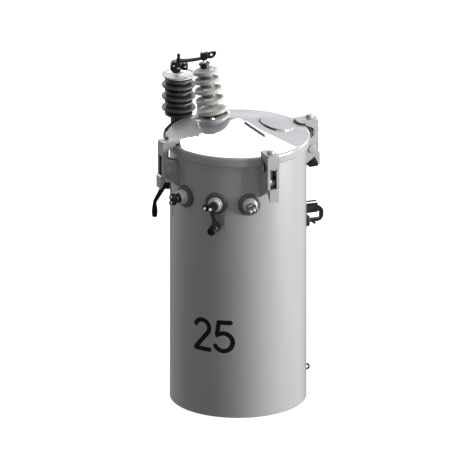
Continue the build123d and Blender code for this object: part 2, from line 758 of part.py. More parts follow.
def make_wires():
    lobe_top = arrester_right_lobe_base + arrester_right_lobe_height
    start_height = arrester_clamp_base + lobe_top + jumper_radius - seat_gap
    start = line_clamp_place * Pos(0, -jumper_start, start_height)
    end = wire_clamp_place * Pos(0, -wire_clamp_offset, wire_clamp_base + jumper_rise)
    middle = (start.position + end.position) / 2 - Vector(0, 0, jumper_sag)
    jumper = round_wire(jumper_radius, ThreePointArc(start.position, middle, end.position))
    parts["jumper_wire"] = jumper - parts["arrester_clamp"] - parts["bushing_wire_clamp"]

    level = rim_plane - lead_depth
    lead_distance = skirt_radius + lead_clearance
    clamp_azimuth = clamp_azimuths["front_left"]
    first = arrester_azimuth + lead_margin
    last = clamp_azimuth - lead_margin
    arc = ThreePointArc(
        at_azimuth(lead_distance, first, level),
        at_azimuth(lead_distance, (first + last) / 2, level),
        at_azimuth(lead_distance, last, level),
    )
    from_stem = Line(at_azimuth(arrester_distance, arrester_azimuth, level - lead_dip), arc @ 0)
    to_screw = Line(arc @ 1, at_azimuth(screw_distance, clamp_azimuth, level))
    lead = round_wire(lead_radius, from_stem, arc, to_screw)
    stem = arrester_place * upright(arrester_stem_radius + seat_gap, 2 * trim_margin, -trim_margin)
    shank = turned(Pos(0, -screw_distance, 0) * upright(screw_radius + seat_gap, rim_plane), clamp_azimuth)
    parts["arrester_ground_lead"] = lead - stem - shank


# ---------------------------------------------------------------- breaker handle
def make_handle():
    hub = front_box(weld_start, handle_hub_face, handle_hub_width,
                    handle_height - handle_hub_height / 2, handle_height + handle_hub_height / 2)
    hub = fillet(hub.edges().filter_by(Axis.Y), edge_round) - tank_block(seat_gap)
    parts["breaker_handle_hub"] = turned(hub, handle_azimuth)
    rod_foot = grip_foot + grip_end
    path = FilletPolyline(
        (0, handle_rod_inset - handle_hub_face, handle_height),
        (0, -handle_radius, handle_height - handle_fall),
        (0, -handle_radius, rod_foot),
        radius=handle_bend,
    )
    rod = sweep(Plane(origin=path @ 0, z_dir=path % 0) * Circle(handle_rod_radius), path=path)
    grip = upright(grip_radius, grip_length) - upright(handle_rod_radius + seat_gap, grip_length, grip_end)
    parts["breaker_handle"] = turned(rod - hub, handle_azimuth)
    parts["breaker_handle_grip"] = turned(Pos(0, -handle_radius, grip_foot) * grip, handle_azimuth)


# ---------------------------------------------------------------- lifting lugs
def make_lifting_lugs():
    plate = front_box(weld_start, tank_radius + lift_plate_reach, lift_width, lift_underside, lift_height)
    back = front_box(weld_start, tank_radius + lift_back, lift_width,
                     lift_height - lift_total, lift_underside)
    box_foot = lift_underside - lift_box_height
    box = front_box(weld_start, tank_radius + lift_box_reach, lift_width - 2 * lift_box_inset,
                    box_foot, lift_underside)
    loop_low = lift_underside - lift_loop_height
    loop_end = tank_radius + lift_loop_reach
    loop_top = lift_underside - lift_loop_overlap
    loop = front_box(tank_radius, loop_end, lift_bar, loop_low, loop_top)
    loop = fillet(loop.edges().filter_by(Axis.X).sort_by(Axis.Y)[0:2], lift_loop_corner)
    opening = front_box(tank_radius + lift_back + lift_eye_margin, loop_end - lift_bar, lift_width,
                        loop_low + lift_bar, box_foot)
    hook = front_plate([
        (tank_radius + lift_hook_inner, loop_low + lift_bar / 2),
        (tank_radius + lift_hook_outer, loop_low - lift_hook_depth),
        (tank_radius + lift_hook_outer, loop_low + lift_bar / 2),
    ], lift_bar)
    lug = plate + back + box + loop + hook - opening - tank_block(seat_gap)
    for place, azimuth in lift_azimuths.items():
        parts[f"lifting_lug_{place}"] = turned(lug, azimuth)


# ---------------------------------------------------------------- ground eye
def make_ground_eye():
    boss = outward(upright(eye_boss_radius, eye_boss_height + weld_overlap), weld_start, eye_height)
    ring_radius = eye_outer_radius - eye_bar_radius
    centre = tank_radius + eye_boss_height + ring_radius
    eye = Pos(0, -centre, eye_height) * Rot(0, 90, 0) * Torus(ring_radius, eye_bar_radius)
    parts["ground_eye"] = turned(boss - tank_block(seat_gap) + eye, eye_azimuth)


# ---------------------------------------------------------------- pole hangers
def make_hangers():
    back_face = tank_radius + hanger_depth
    for place, height in hanger_heights.items():
        low = height - hanger_height / 2
        high = height + hanger_height / 2
        hanger = front_box(back_face - hanger_plate, back_face, hanger_width, low, high)
        for side in (-1, 1):
            offset = side * (hanger_width - hanger_plate) / 2
            hanger += front_box(weld_start, back_face, hanger_plate, low, high, offset)
        slot_plane = Plane(origin=(0, -back_face, height), x_dir=(0, 0, 1), z_dir=(0, -1, 0))
        slot_outline = slot_plane * SlotOverall(hanger_slot_length, hanger_slot_width)
        slot = extrude(slot_outline, 2 * hanger_plate, both=True)
        parts[f"pole_hanger_{place}"] = turned(hanger - slot - tank_block(seat_gap), 180)


make_tank()
make_cover()
make_clamps()
make_low_voltage_bushings()
make_neutral_strap()
make_ground_boss()
make_high_voltage_bushing()
make_arrester_bracket()
make_arrester()
make_wires()
make_handle()
make_lifting_lugs()
make_ground_eye()
make_hangers()

os.makedirs("parts", exist_ok=True)
for name, part in parts.items():
    export_step(part, f"parts/{name}.step")
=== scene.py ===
# %% [markdown]
# # Pole mounted transformer
# This lesson dresses a finished CAD model of a small distribution transformer, the
# round tank that hangs on a street pole. The CAD gives every size and place. Blender
# adds what CAD leaves plain: soft edges, glazed porcelain, enamel, weld beads, bolts
# and the light of a studio. Everything is in metres, Z is up, and the tank's front
# faces -Y. An azimuth is measured around the tank from its front towards +X.

# %% Load the frame
import json
import math

import bmesh
import bpy
from mathutils import Matrix, Vector


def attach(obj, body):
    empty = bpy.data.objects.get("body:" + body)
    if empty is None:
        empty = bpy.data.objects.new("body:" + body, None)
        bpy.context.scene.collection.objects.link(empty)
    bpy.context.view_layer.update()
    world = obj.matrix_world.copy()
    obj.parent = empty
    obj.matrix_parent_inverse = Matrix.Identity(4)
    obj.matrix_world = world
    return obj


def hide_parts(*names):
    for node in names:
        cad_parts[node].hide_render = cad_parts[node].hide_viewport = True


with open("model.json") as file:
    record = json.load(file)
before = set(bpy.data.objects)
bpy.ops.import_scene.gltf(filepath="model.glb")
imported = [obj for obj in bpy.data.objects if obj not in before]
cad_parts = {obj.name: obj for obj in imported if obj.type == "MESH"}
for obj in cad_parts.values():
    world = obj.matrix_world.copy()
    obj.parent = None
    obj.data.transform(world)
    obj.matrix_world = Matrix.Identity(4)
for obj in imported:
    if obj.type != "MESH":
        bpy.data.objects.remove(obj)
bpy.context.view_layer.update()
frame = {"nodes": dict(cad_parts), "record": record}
nodes = frame["nodes"]
scene = bpy.context.scene
print("CAD nodes:", len(nodes))

# %% [markdown]
# ## Camera
# A catalogue view of a tall part is often taken from far away with a long lens, so that
# upright edges stay parallel. A perspective camera far off would do. An orthographic one
# gives the same look exactly and has no lens to choose. It stands a little to the right
# of the front and looks down on the cover.

# %% Camera
view_azimuth = math.radians(20.5)
view_elevation = math.radians(20.4)
frame_width = 1.4068            # how much the picture spans
frame_middle = Vector((0, 0, 0.498))
aim_shift = 0.0033              # the part stands this far right of the middle


def direction_at(azimuth, elevation):
    """Unit vector at an azimuth from the front and an elevation, both in radians."""
    level = math.cos(elevation)
    return Vector((level * math.sin(azimuth), -level * math.cos(azimuth), math.sin(elevation)))


to_camera = direction_at(view_azimuth, view_elevation)
camera_right = Vector((math.cos(view_azimuth), math.sin(view_azimuth), 0))
camera = bpy.data.objects.new("camera", bpy.data.cameras.new("camera"))
camera.data.type = "ORTHO"
camera.data.ortho_scale = frame_width
camera.location = frame_middle - camera_right * aim_shift + to_camera * 4
camera.rotation_euler = (-to_camera).to_track_quat("-Z", "Y").to_euler()
scene.collection.objects.link(camera)
scene.camera = camera
scene.view_settings.view_transform = "Standard"
print("camera stands at", [round(v, 2) for v in camera.location])

# %% [markdown]
# ## Floor
# The floor is a plain pale sheet. A strong lamp would make it white but would also throw
# its light up onto the tank. A little glow of its own keeps it pale instead, just white
# and no more, so that thin dark edges in front of it stay crisp. The two visibility
# switches stop it from lighting the enamel, as black cloth on a studio floor would.

# %% Floor
floor_half = 14.0
floor_mesh = bpy.data.meshes.new("floor")
floor_mesh.from_pydata(
    [(-floor_half, -floor_half, 0), (floor_half, -floor_half, 0),
     (floor_half, floor_half, 0), (-floor_half, floor_half, 0)], [], [(0, 1, 2, 3)])
floor = bpy.data.objects.new("floor", floor_mesh)
floor_material = bpy.data.materials.new("pale_floor")
floor_material.use_nodes = True
floor_shader = floor_material.node_tree.nodes["Principled BSDF"]
floor_shader.inputs["Base Color"].default_value = (0.3, 0.3, 0.3, 1)
floor_shader.inputs["Roughness"].default_value = 0.9
floor_shader.inputs["Emission Color"].default_value = (1, 1, 1, 1)
floor_shader.inputs["Emission Strength"].default_value = 0.9
floor_mesh.materials.append(floor_material)
scene.collection.objects.link(floor)
floor.visible_diffuse = False
floor.visible_glossy = False
print("floor spans", 2 * floor_half, "m")

# %% [markdown]
# ## Light
# Enamel is read by what it mirrors, so the lights are placed by the mirror rule. The
# cover is a flat cone, and its front throws the camera's line of sight up to the back at
# about 45 degrees, so a wide box there turns the front of the cover white. The box stands
# 12 m away: each straight line down the cone then mirrors one single spot, and the white
# sector gets straight edges. A nearer box would do for a flat lid, but here it bends
# them. A key box on the right makes the round tank fall from light to dark, two weak
# boxes behind draw its edges, and a faint one above lifts the sheds. The world is dim in
# front, darker below the horizon and brightest behind at the horizon, which gives the
# far side of the cover its pale sheen.

# %% Softboxes and world
def softbox(name, azimuth, elevation, width, height, power, roll=0.0, distance=4.0,
            colour=(1, 1, 1)):
    """Area light at an azimuth from the camera's own, aimed at the upper part of the tank."""
    away = direction_at(view_azimuth + math.radians(azimuth), math.radians(elevation))
    lamp = bpy.data.lights.new(name, "AREA")
    lamp.shape = "RECTANGLE"
    lamp.size = width
    lamp.size_y = height
    lamp.energy = power
    lamp.color = colour
    light = bpy.data.objects.new(name, lamp)
    light.location = Vector((0, 0, 0.7)) + away * distance
    turn = Matrix.Rotation(math.radians(roll), 3, "Z")
    light.rotation_euler = (away.to_track_quat("Z", "Y").to_matrix() @ turn).to_euler()
    scene.collection.objects.link(light)
    print(name, "at", [round(v, 2) for v in light.location])


softbox("back_softbox", 180, 43, 7.4, 4.1, 1250, roll=-14, distance=12.0)
softbox("key_softbox", 78, 3, 4.4, 4.4, 1600, distance=8.0, colour=(1.0, 0.993, 0.972))
softbox("top_softbox", 30, 72, 1.8, 1.8, 24)
softbox("left_rim_softbox", -130, 14, 1.6, 2.4, 62)
softbox("right_rim_softbox", 125, 8, 1.6, 2.4, 56)

world = bpy.data.worlds.new("studio")
world.use_nodes = True
world_nodes = world.node_tree.nodes
world_links = world.node_tree.links


def graded(tree, source, from_min, from_max, to_min, to_max, interpolation="LINEAR"):
    """Value that goes from one number to another while the source crosses a range."""
    node = tree.nodes.new("ShaderNodeMapRange")
    node.interpolation_type = interpolation
    limits = {"From Min": from_min, "From Max": from_max, "To Min": to_min, "To Max": to_max}
    for limit, value in limits.items():
        node.inputs[limit].default_value = value
    tree.links.new(source, node.inputs["Value"])
    return node.outputs["Result"]


def times(first, second):
    """Product of two of the world's values."""
    node = world_nodes.new("ShaderNodeMath")
    node.operation = "MULTIPLY"
    world_links.new(first, node.inputs[0])
    world_links.new(second, node.inputs[1])
    return node.outputs["Value"]


direction = world_nodes.new("ShaderNodeTexCoord").outputs["Generated"]
behind = world_nodes.new("ShaderNodeVectorMath")
behind.operation = "DOT_PRODUCT"
behind.inputs[1].default_value = (-math.sin(view_azimuth), math.cos(view_azimuth), 0)
world_links.new(direction, behind.inputs[0])
rise = world_nodes.new("ShaderNodeSeparateXYZ")
world_links.new(direction, rise.inputs["Vector"])
tree = world.node_tree
around = graded(tree, behind.outputs["Value"], 0.1, 1.0, 0.50, 0.84, "SMOOTHSTEP")
below = graded(tree, rise.outputs["Z"], -0.35, -0.08, 0.3, 1.0)
above = graded(tree, rise.outputs["Z"], 0.02, 0.3, 1.0, 0.56)
backdrop = world_nodes["Background"]
world_links.new(times(around, times(below, above)), backdrop.inputs["Strength"])
backdrop.inputs["Color"].default_value = (0.97, 0.98, 1.0, 1)
scene.world = world

# %% [markdown]
# ## Finishes
# Each finish is one Principled shader with a few procedural nodes: a base colour with a
# slow drift, on two of them painted shade in hollows, and a small bump. Plain colours
# would do for a sketch, but real enamel has an orange peel skin, cast metal is grainy and
# glaze pools in waves, and this is what the eye checks first.

# %% Finish helpers
def noise(material, scale, detail=3.0, stretch=(1, 1, 1)):
    """Noise over the object's own coordinates. Scale is in bumps per metre."""
    tree = material.node_tree
    coordinates = tree.nodes.new("ShaderNodeTexCoord")
    mapping = tree.nodes.new("ShaderNodeMapping")
    mapping.inputs["Scale"].default_value = stretch
    texture = tree.nodes.new("ShaderNodeTexNoise")
    texture.inputs["Scale"].default_value = scale
    texture.inputs["Detail"].default_value = detail
    tree.links.new(coordinates.outputs["Object"], mapping.inputs["Vector"])
    tree.links.new(mapping.outputs["Vector"], texture.inputs["Vector"])
    return texture.outputs["Fac"]


def tone_ramp(material, source, first, second):
    """Colour ramp between two stops, each a position and a colour."""
    ramp = material.node_tree.nodes.new("ShaderNodeValToRGB")
    for element, (position, colour) in zip(ramp.color_ramp.elements, (first, second)):
        element.position = position
        element.color = (*colour, 1)
    material.node_tree.links.new(source, ramp.inputs["Fac"])
    return ramp.outputs["Color"]


sockets = {
    "roughness": "Roughness", "metallic": "Metallic", "ior": "IOR", "coat": "Coat Weight",
    "coat_roughness": "Coat Roughness", "coat_ior": "Coat IOR", "specular": "Specular IOR Level",
}


def finish(name, tones, scale, roughness, bumps=None, stretch=(1, 1, 1), **values):
    """New material whose colour drifts between two tones. Bumps are a count per metre and a
    height in metres, and the other values are set on the shader's own sockets."""
    material = bpy.data.materials.new(name)
    material.use_nodes = True
    tree = material.node_tree
    shader = tree.nodes["Principled BSDF"]
    values = {"ior": 1.5, "coat_roughness": 0.05, "roughness": roughness, **values}
    for word, value in values.items():
        shader.inputs[sockets[word]].default_value = value
    drift = noise(material, scale, 4.0, stretch)
    colour = tone_ramp(material, drift, (0.35, tones[0]), (0.68, tones[1]))
    tree.links.new(colour, shader.inputs["Base Color"])
    if bumps:
        bump = tree.nodes.new("ShaderNodeBump")
        bump.inputs["Strength"].default_value = 1.0
        bump.inputs["Distance"].default_value = bumps[1]
        tree.links.new(noise(material, bumps[0], 2.0), bump.inputs["Height"])
        tree.links.new(bump.outputs["Normal"], shader.inputs["Normal"])
    return material


def gloss_drift(material, scale, smooth, rough):
    """Roughness that wanders between two values."""
    tree = material.node_tree
    wander = graded(tree, noise(material, scale), 0.3, 0.7, smooth, rough)
    tree.links.new(wander, tree.nodes["Principled BSDF"].inputs["Roughness"])


def painted_hollow_shade(material, reach, deep):
    """Painted shade: darken the colour where the piece's own surface stands closer than reach,
    in metres, down to the share deep of the unshaded tone."""
    tree = material.node_tree
    shader = tree.nodes["Principled BSDF"]
    unshaded = shader.inputs["Base Color"].links[0].from_socket
    hollow = tree.nodes.new("ShaderNodeAmbientOcclusion")
    hollow.only_local = True
    hollow.inputs["Distance"].default_value = reach
    shade_tone = tone_ramp(material, hollow.outputs["AO"], (0.45, (deep,) * 3), (0.85, (1, 1, 1)))
    blend = tree.nodes.new("ShaderNodeMix")
    blend.data_type = "RGBA"
    blend.blend_type = "MULTIPLY"
    blend.inputs["Factor"].default_value = 1.0
    colour_a, colour_b = [socket for socket in blend.inputs if socket.type == "RGBA"]
    mixed = [socket for socket in blend.outputs if socket.type == "RGBA"][0]
    tree.links.new(unshaded, colour_a)
    tree.links.new(shade_tone, colour_b)
    tree.links.new(mixed, shader.inputs["Base Color"])


print("shader sockets in use:", len(sockets))

# %% [markdown]
# Enamel: light grey, sprayed and baked. Two layers make it: the coloured paint, slightly
# rough, and a clear smooth skin over it, which is what mirrors the softboxes. The colour
# drifts a little, with faint upright rain streaks on the tank. The cover has the hardest
# skin, and the ground pad is bare primer with none.

# %% Enamel
enamel = finish("enamel", ((0.318, 0.324, 0.336), (0.345, 0.349, 0.358)), 9.0, 0.3, (420, 1e-5),
                stretch=(1.0, 1.0, 0.12), coat=1.0)
cover_enamel = finish("cover_enamel", ((0.315, 0.322, 0.338), (0.345, 0.35, 0.362)), 7.0, 0.45,
                      (420, 1e-5), coat=1.0, coat_roughness=0.02, coat_ior=1.7,
                      specular=0.15)
fitting_enamel = finish("fitting_enamel", ((0.30, 0.305, 0.31), (0.36, 0.362, 0.368)), 24.0,
                        0.34, (300, 4e-5), coat=0.8)
pad_enamel = finish("pad_enamel", ((0.235, 0.242, 0.24), (0.27, 0.276, 0.274)), 24.0, 0.6)
print("enamels made")

# %% [markdown]
# Insulators: the low voltage drums and the arrester's top disc are glazed and shiny, and
# a little uneven where the glaze pooled. The tall bushing's glaze has weathered, and the
# arrester's housing is a satin grey polymer with no coat. On both of these, shade is
# painted into the colour between the sheds: an ambient occlusion node finds such hollows
# on any form and darkens them, so nothing has to be painted by hand.

# %% Porcelain and polymer
porcelain = finish("porcelain", ((0.52, 0.525, 0.49), (0.60, 0.605, 0.57)), 16.0, 0.22,
                   (45, 2e-5), coat=0.5, ior=1.55)
porcelain_painted_shade = finish("porcelain_painted_shade", ((0.33, 0.322, 0.302), (0.39, 0.382, 0.358)), 16.0,
                         0.45, (45, 5e-5), coat=0.2, coat_roughness=0.2, specular=0.2, ior=1.45)
# painted shade between the tall bushing's sheds
painted_hollow_shade(porcelain_painted_shade, 0.03, 0.12)
white_glaze = finish("white_glaze", ((0.68, 0.68, 0.67), (0.76, 0.76, 0.75)), 20.0, 0.22,
                     (60, 3e-5), coat=0.8)
polymer = finish("polymer", ((0.056, 0.056, 0.055), (0.078, 0.078, 0.076)), 30.0, 0.45,
                 (900, 2e-5), ior=1.45)
# painted shade between the arrester's sheds
painted_hollow_shade(polymer, 0.025, 0.25)
print("insulator finishes made")

# %% [markdown]
# Metals and rubber: zinc plated bolts are bright with a fine spangle, or dull where they
# are old. A nearly white finish paints highlights on some bolts, the cotter and the lugs'
# tops. The connectors are black castings, the neutral strap is weathered bronze, and the
# gaskets are grey rubber. The wires and the handle are black plastic.

# %% Metals, rubber and plastic
zinc = finish("zinc", ((0.50, 0.50, 0.51), (0.74, 0.74, 0.75)), 140.0, 0.28, (500, 2e-5),
              metallic=1.0)
gloss_drift(zinc, 90.0, 0.2, 0.42)
dull_zinc = finish("dull_zinc", ((0.22, 0.22, 0.22), (0.36, 0.36, 0.36)), 140.0, 0.34,
                   (500, 3e-5), metallic=1.0)
# nearly white finish for painted highlights
highlight_white = finish("painted_highlight_white", ((0.74, 0.74, 0.73), (0.88, 0.88, 0.87)), 160.0, 0.5,
                    (400, 3e-5))
casting = finish("dark_casting", ((0.004, 0.004, 0.004), (0.01, 0.01, 0.01)), 60.0, 0.4,
                 (700, 5e-5), ior=1.38)
gloss_drift(casting, 80.0, 0.3, 0.5)
bronze = finish("bronze", ((0.05, 0.048, 0.04), (0.1, 0.096, 0.082)), 90.0, 0.5, (500, 3e-5),
                metallic=0.4)
rubber = finish("grey_rubber", ((0.07, 0.075, 0.073), (0.105, 0.11, 0.107)), 40.0, 0.5,
                (800, 3e-5))
black_plastic = finish("black_plastic", ((0.002, 0.002, 0.002), (0.005, 0.005, 0.005)),
                       60.0, 0.55, (600, 4e-5), ior=1.3)
black_paint = finish("black_stencil_paint", ((0.002, 0.002, 0.002), (0.006, 0.006, 0.006)),
                     80.0, 0.5, (350, 3e-5), ior=1.3)

finishes = {
    "painted_tank": enamel, "painted_fitting": fitting_enamel, "gasket_rubber": rubber,
    "porcelain": porcelain, "arrester_polymer": polymer, "arrester_disc": white_glaze,
    "bright_steel": zinc, "dark_metal": casting, "bronze": bronze,
    "black_wire": black_plastic, "grip_plastic": black_plastic,
}
slot_of = {entry["node"]: entry["material_slot"] for entry in frame["record"]["subparts"]}
for name, slot in slot_of.items():
    nodes[name].data.materials.clear()
    nodes[name].data.materials.append(finishes[slot])
print("finishes:", len(bpy.data.materials), "for", len(slot_of), "nodes")

# %% [markdown]
# ## Tools of the workshop
# Most pieces are made in one of four ways: turned on a lathe from half an outline, swept
# along a line, built of extruded outlines, or taken from the CAD with its sharp edges
# rounded. A real edge is never perfectly sharp, and the thin line of light along it is
# what makes a rendered bracket look like steel.

# %% Pieces and the lathe
made = []


def piece(name, mesh, material, slot, *replaced, mirrored=True):
    """Link a mesh, or a list of them, as a piece that rides on the part and takes the place
    of CAD nodes. A piece that isn't mirrored is left out of every reflection."""
    if isinstance(mesh, list):
        mesh = joined(mesh)
    mesh.name = name
    thing = bpy.data.objects.new(name, mesh)
    mesh.materials.clear()
    mesh.materials.append(material)
    scene.collection.objects.link(thing)
    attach(thing, "root")
    if replaced:
        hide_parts(*replaced)
    thing.visible_glossy = mirrored
    made.append(thing)
    return thing


def smooth(mesh, angle=40.0):
    """Smooth shading that keeps edges sharper than the angle."""
    mesh.shade_smooth()
    mesh.set_sharp_from_angle(angle=math.radians(angle))
    return mesh


def mesh_of(vertices, faces, angle=40.0):
    """Mesh from vertices and faces, with its normals turned outwards."""
    mesh = bpy.data.meshes.new("form")
    mesh.from_pydata(vertices, [], faces)
    form = bmesh.new()
    form.from_mesh(mesh)
    bmesh.ops.remove_doubles(form, verts=form.verts, dist=1e-7)
    bmesh.ops.recalc_face_normals(form, faces=form.faces)
    form.to_mesh(mesh)
    form.free()
    return smooth(mesh, angle)


def skin(rings, around=True, closed=False, angle=40.0):
    """Faces laid from each ring of points to the next, and back to the first if they go
    around. Closed rings join their own ends, and cap the skin where it doesn't go around."""
    total, count = len(rings), len(rings[0])
    vertices = [vertex for ring in rings for vertex in ring]
    faces = []
    for step in range(total if around else total - 1):
        here, there = step * count, (step + 1) % total * count
        for index in range(count if closed else count - 1):
            following = (index + 1) % count
            faces.append((here + index, here + following, there + following, there + index))
    if closed and not around:
        faces += [tuple(range(count)), tuple(range((total - 1) * count, total * count))]
    return mesh_of(vertices, faces, angle)


def lathe(outline, place=Matrix(), segments=128, angle=40.0):
    """Turn (radius, height) points in millimetres around Z, then put the piece in its place."""
    rings = []
    for step in range(segments):
        turn = 2 * math.pi * step / segments
        across, forward = math.sin(turn), -math.cos(turn)
        rings.append([place @ (Vector((radius * across, radius * forward, height)) / 1000)
                      for radius, height in outline])
    return skin(rings, angle=angle)


print("lathe ready")

# %% [markdown]
# An outline with sharp corners is easy to write down, so its corners are rounded
# afterwards by one function. A piece is drawn around its own origin, where its sizes are
# plain, and a matrix then carries it to its place on the tank.

# %% Outlines and places
def rounded(points, radius, steps=5):
    """Round an open outline's corners with arcs that start up to radius before each corner."""
    result = [points[0]]
    for before, corner, after in zip(points, points[1:], points[2:]):
        corner_at = Vector(corner)
        first = Vector(before) - corner_at
        second = Vector(after) - corner_at
        reach = min(radius, first.length * 0.48, second.length * 0.48)
        start = corner_at + first.normalized() * reach
        end = corner_at + second.normalized() * reach
        for step in range(steps + 1):
            t = step / steps
            spot = start * (1 - t) ** 2 + corner_at * 2 * t * (1 - t) + end * t ** 2
            result.append(tuple(spot))
    result.append(points[-1])
    return result


def spin(degrees, axis="Z"):
    """Turn about an axis."""
    return Matrix.Rotation(math.radians(degrees), 4, axis)


def shift(x, y, z):
    """Move by millimetres."""
    return Matrix.Translation(Vector((x, y, z)) / 1000)


def at(azimuth, distance=0.0, height=0.0):
    """Place on the tank: a piece drawn at the origin goes to this distance and height, in
    millimetres, and is then turned to the azimuth in degrees."""
    return spin(azimuth) @ shift(0, -distance, height)


def spot_on(place, *local):
    """Point in millimetres of a spot given on a place."""
    return (place @ (Vector(local) / 1000)) * 1000


outwards = spin(90, "X")
print("places ready")

# %% [markdown]
# Wires, beads and rods are bars swept along a line. Plates, nuts and black blocks are
# outlines pushed out to a thickness, and their edges are bevelled as they are made.

# %% Bars and plates
def tube(points, radius, sides=16, closed=False, flatten=1.0, place=Matrix()):
    """Round bar swept along points in millimetres. A list of radii gives it a taper."""
    points = [Vector(point) for point in points]
    rings = []
    count = len(points)
    radii = radius if isinstance(radius, list) else [radius] * count
    side = None
    for index, point in enumerate(points):
        before = points[index - 1] if index or closed else point
        after = points[(index + 1) % count] if index + 1 < count or closed else point
        along = (after - before).normalized()
        if side is None:
            side = along.orthogonal()
        side = (side - along * side.dot(along)).normalized()
        up = along.cross(side)
        turns = [2 * math.pi * step / sides for step in range(sides)]
        spokes = [(side * math.cos(turn) + up * math.sin(turn) * flatten) * radii[index]
                  for turn in turns]
        rings.append([place @ ((point + spoke) / 1000) for spoke in spokes])
    return skin(rings, closed, True)


def joined(meshes):
    """One mesh from several."""
    form = bmesh.new()
    for mesh in meshes:
        form.from_mesh(mesh)
        bpy.data.meshes.remove(mesh)
    result = bpy.data.meshes.new("form")
    form.to_mesh(result)
    form.free()
    return smooth(result)


def prism(outline, low, high, place=Matrix(), bevel=0.6, angle=40.0):
    """Extrude a closed outline in millimetres from low to high along Z, with bevelled edges."""
    form = bmesh.new()
    ring = [form.verts.new(Vector((x, y, low)) / 1000) for x, y in outline]
    face = form.faces.new(ring)
    raised = bmesh.ops.extrude_face_region(form, geom=[face])
    lifted = [item for item in raised["geom"] if isinstance(item, bmesh.types.BMVert)]
    bmesh.ops.translate(form, verts=lifted, vec=Vector((0, 0, high - low)) / 1000)
    bmesh.ops.recalc_face_normals(form, faces=form.faces)
    if bevel:
        sharp = [edge for edge in form.edges if edge.calc_face_angle(0) > math.radians(angle)]
        bmesh.ops.bevel(form, geom=sharp, offset=bevel / 1000, segments=2, profile=0.5,
                        affect="EDGES")
    form.transform(place)
    result = bpy.data.meshes.new("form")
    form.to_mesh(result)
    form.free()
    return smooth(result)


def hexagon(across):
    """Outline of a hexagon, measured across its flats."""
    radius = across / 2 / math.cos(math.pi / 6)
    turns = [2 * math.pi * (index + 0.5) / 6 for index in range(6)]
    return [(radius * math.cos(turn), radius * math.sin(turn)) for turn in turns]


def box_outline(width, depth):
    """Outline of a rectangle around the origin."""
    x, y = width / 2, depth / 2
    return [(-x, -y), (x, -y), (x, y), (-x, y)]


print("bars and plates ready")

# %% [markdown]
# Where the CAD's form is already right, its node is copied. Flat faces that were cut into
# triangles are made whole again first, so that the bevel finds only the real edges.

# %% Rounded copies of CAD nodes
def softened(name, edge=0.7, material=None):
    """Copy a CAD node's form as a new piece with rounded edges, which then stands for it."""
    form = bmesh.new()
    form.from_mesh(nodes[name].data)
    bmesh.ops.remove_doubles(form, verts=form.verts, dist=1e-6)
    bmesh.ops.dissolve_limit(form, angle_limit=math.radians(0.4),
                             verts=form.verts, edges=form.edges)
    mesh = bpy.data.meshes.new("form")
    form.to_mesh(mesh)
    form.free()
    slot = slot_of[name]
    thing = piece(name + "_dressed", smooth(mesh, 30.0), material or finishes[slot], slot, name)
    rounding = thing.modifiers.new("soft_edges", "BEVEL")
    rounding.width = edge / 1000
    rounding.segments = 2
    rounding.limit_method = "ANGLE"
    rounding.angle_limit = math.radians(32)
    rounding.harden_normals = True
    return thing


print("copies ready")

# %% [markdown]
# ## Tank
# The tank is rolled steel sheet, welded along one upright seam at the back. The CAD
# shell is right but its wall is made of flat facets, which a glossy skin would show, so
# it is turned again here on a finer lathe.

# %% Tank wall and seam
tank_radius = 203.0
tank_wall = 3.0
tank_height = 812.0
rim_plane = 826.0

bore = tank_radius - tank_wall
wall = rounded([(bore, 20), (bore, tank_height), (tank_radius, tank_height), (tank_radius, 0),
                (bore, 0), (bore, 20)], 1.1)
piece("tank_wall", lathe(wall, segments=320), enamel, "painted_tank", "tank_shell")

seam_azimuth = 158.0
seam_line = [(0, -tank_radius - 0.1, height) for height in range(6, 796, 3)]
seam = tube(seam_line, 2.4, sides=10, flatten=0.35, place=at(seam_azimuth))
piece("tank_seam", seam, enamel, "painted_tank")
print("tank wall:", len(made[0].data.vertices), "points")

# %% [markdown]
# ## Cover
# The cover is a spun cone with a turned down skirt and a rounded knuckle between them.
# The front of this cone is the brightest thing on the part, so it must be perfectly
# smooth: one outline, turned with many segments.

# %% Cover
skirt_radius = 214.0
cover_sheet = 3.0
apex = 876.0
cone_slope = 50.0 / 206.0
cone_angle = math.atan(cone_slope)


def cone(distance):
    """Height of the cover's surface at a distance from the axis."""
    return apex - cone_slope * distance


def on_slope(azimuth, distance, lift=0.0):
    """Place on the cone, tilted with it."""
    return at(azimuth, distance, cone(distance) + lift) @ Matrix.Rotation(cone_angle, 4, "X")


skirt_foot = rim_plane - 28.0
inner = skirt_radius - cover_sheet
outline = [(0, apex - 1.0), (3, apex - 1.2)]
outline += rounded([(9, cone(9)), (skirt_radius, cone(skirt_radius)),
                    (skirt_radius, skirt_foot + 6)], 7.0, 9)[:-1]
outline += rounded([(skirt_radius, skirt_foot + 6), (skirt_radius, skirt_foot),
                    (inner, skirt_foot), (inner, skirt_foot + 6)], 1.0, 3)
outline += [(inner, 819), (198, 819), (198, cone(198) - 3.1), (3, cone(3) - 3.1), (0, apex - 4)]
piece("cover_shell", lathe(outline, segments=320), cover_enamel, "painted_tank", "cover")
print("cone angle:", round(math.degrees(cone_angle), 1), "degrees")

# %% [markdown]
# A weld bead is not a smooth ring: each dab of the torch leaves a ripple. The bead here
# is a tube whose line swells a little at each dab, laid where two pieces meet.

# %% Weld bead helper
def bead(name, line, radius, closed=False):
    """Painted weld bead of a given radius along points in millimetres."""
    dab = 3.0
    points = [Vector(point) for point in line]
    if closed:
        points.append(points[0])
    steps = []
    for first, second in zip(points, points[1:]):
        count = max(1, round((second - first).length / (dab / 3)))
        steps += [first.lerp(second, step / count) for step in range(count)]
    if not closed:
        steps.append(points[-1])
    rippled = []
    for index, point in enumerate(steps):
        dab_wave = 0.12 * math.sin(2 * math.pi * index / 3)
        slow_wave = 0.05 * math.sin(index * 0.37)
        rippled.append(point + Vector((0, 0, radius * (dab_wave + slow_wave))))
    form = tube(rippled, radius, sides=8, closed=closed)
    return piece(name, form, cover_enamel, "painted_tank")


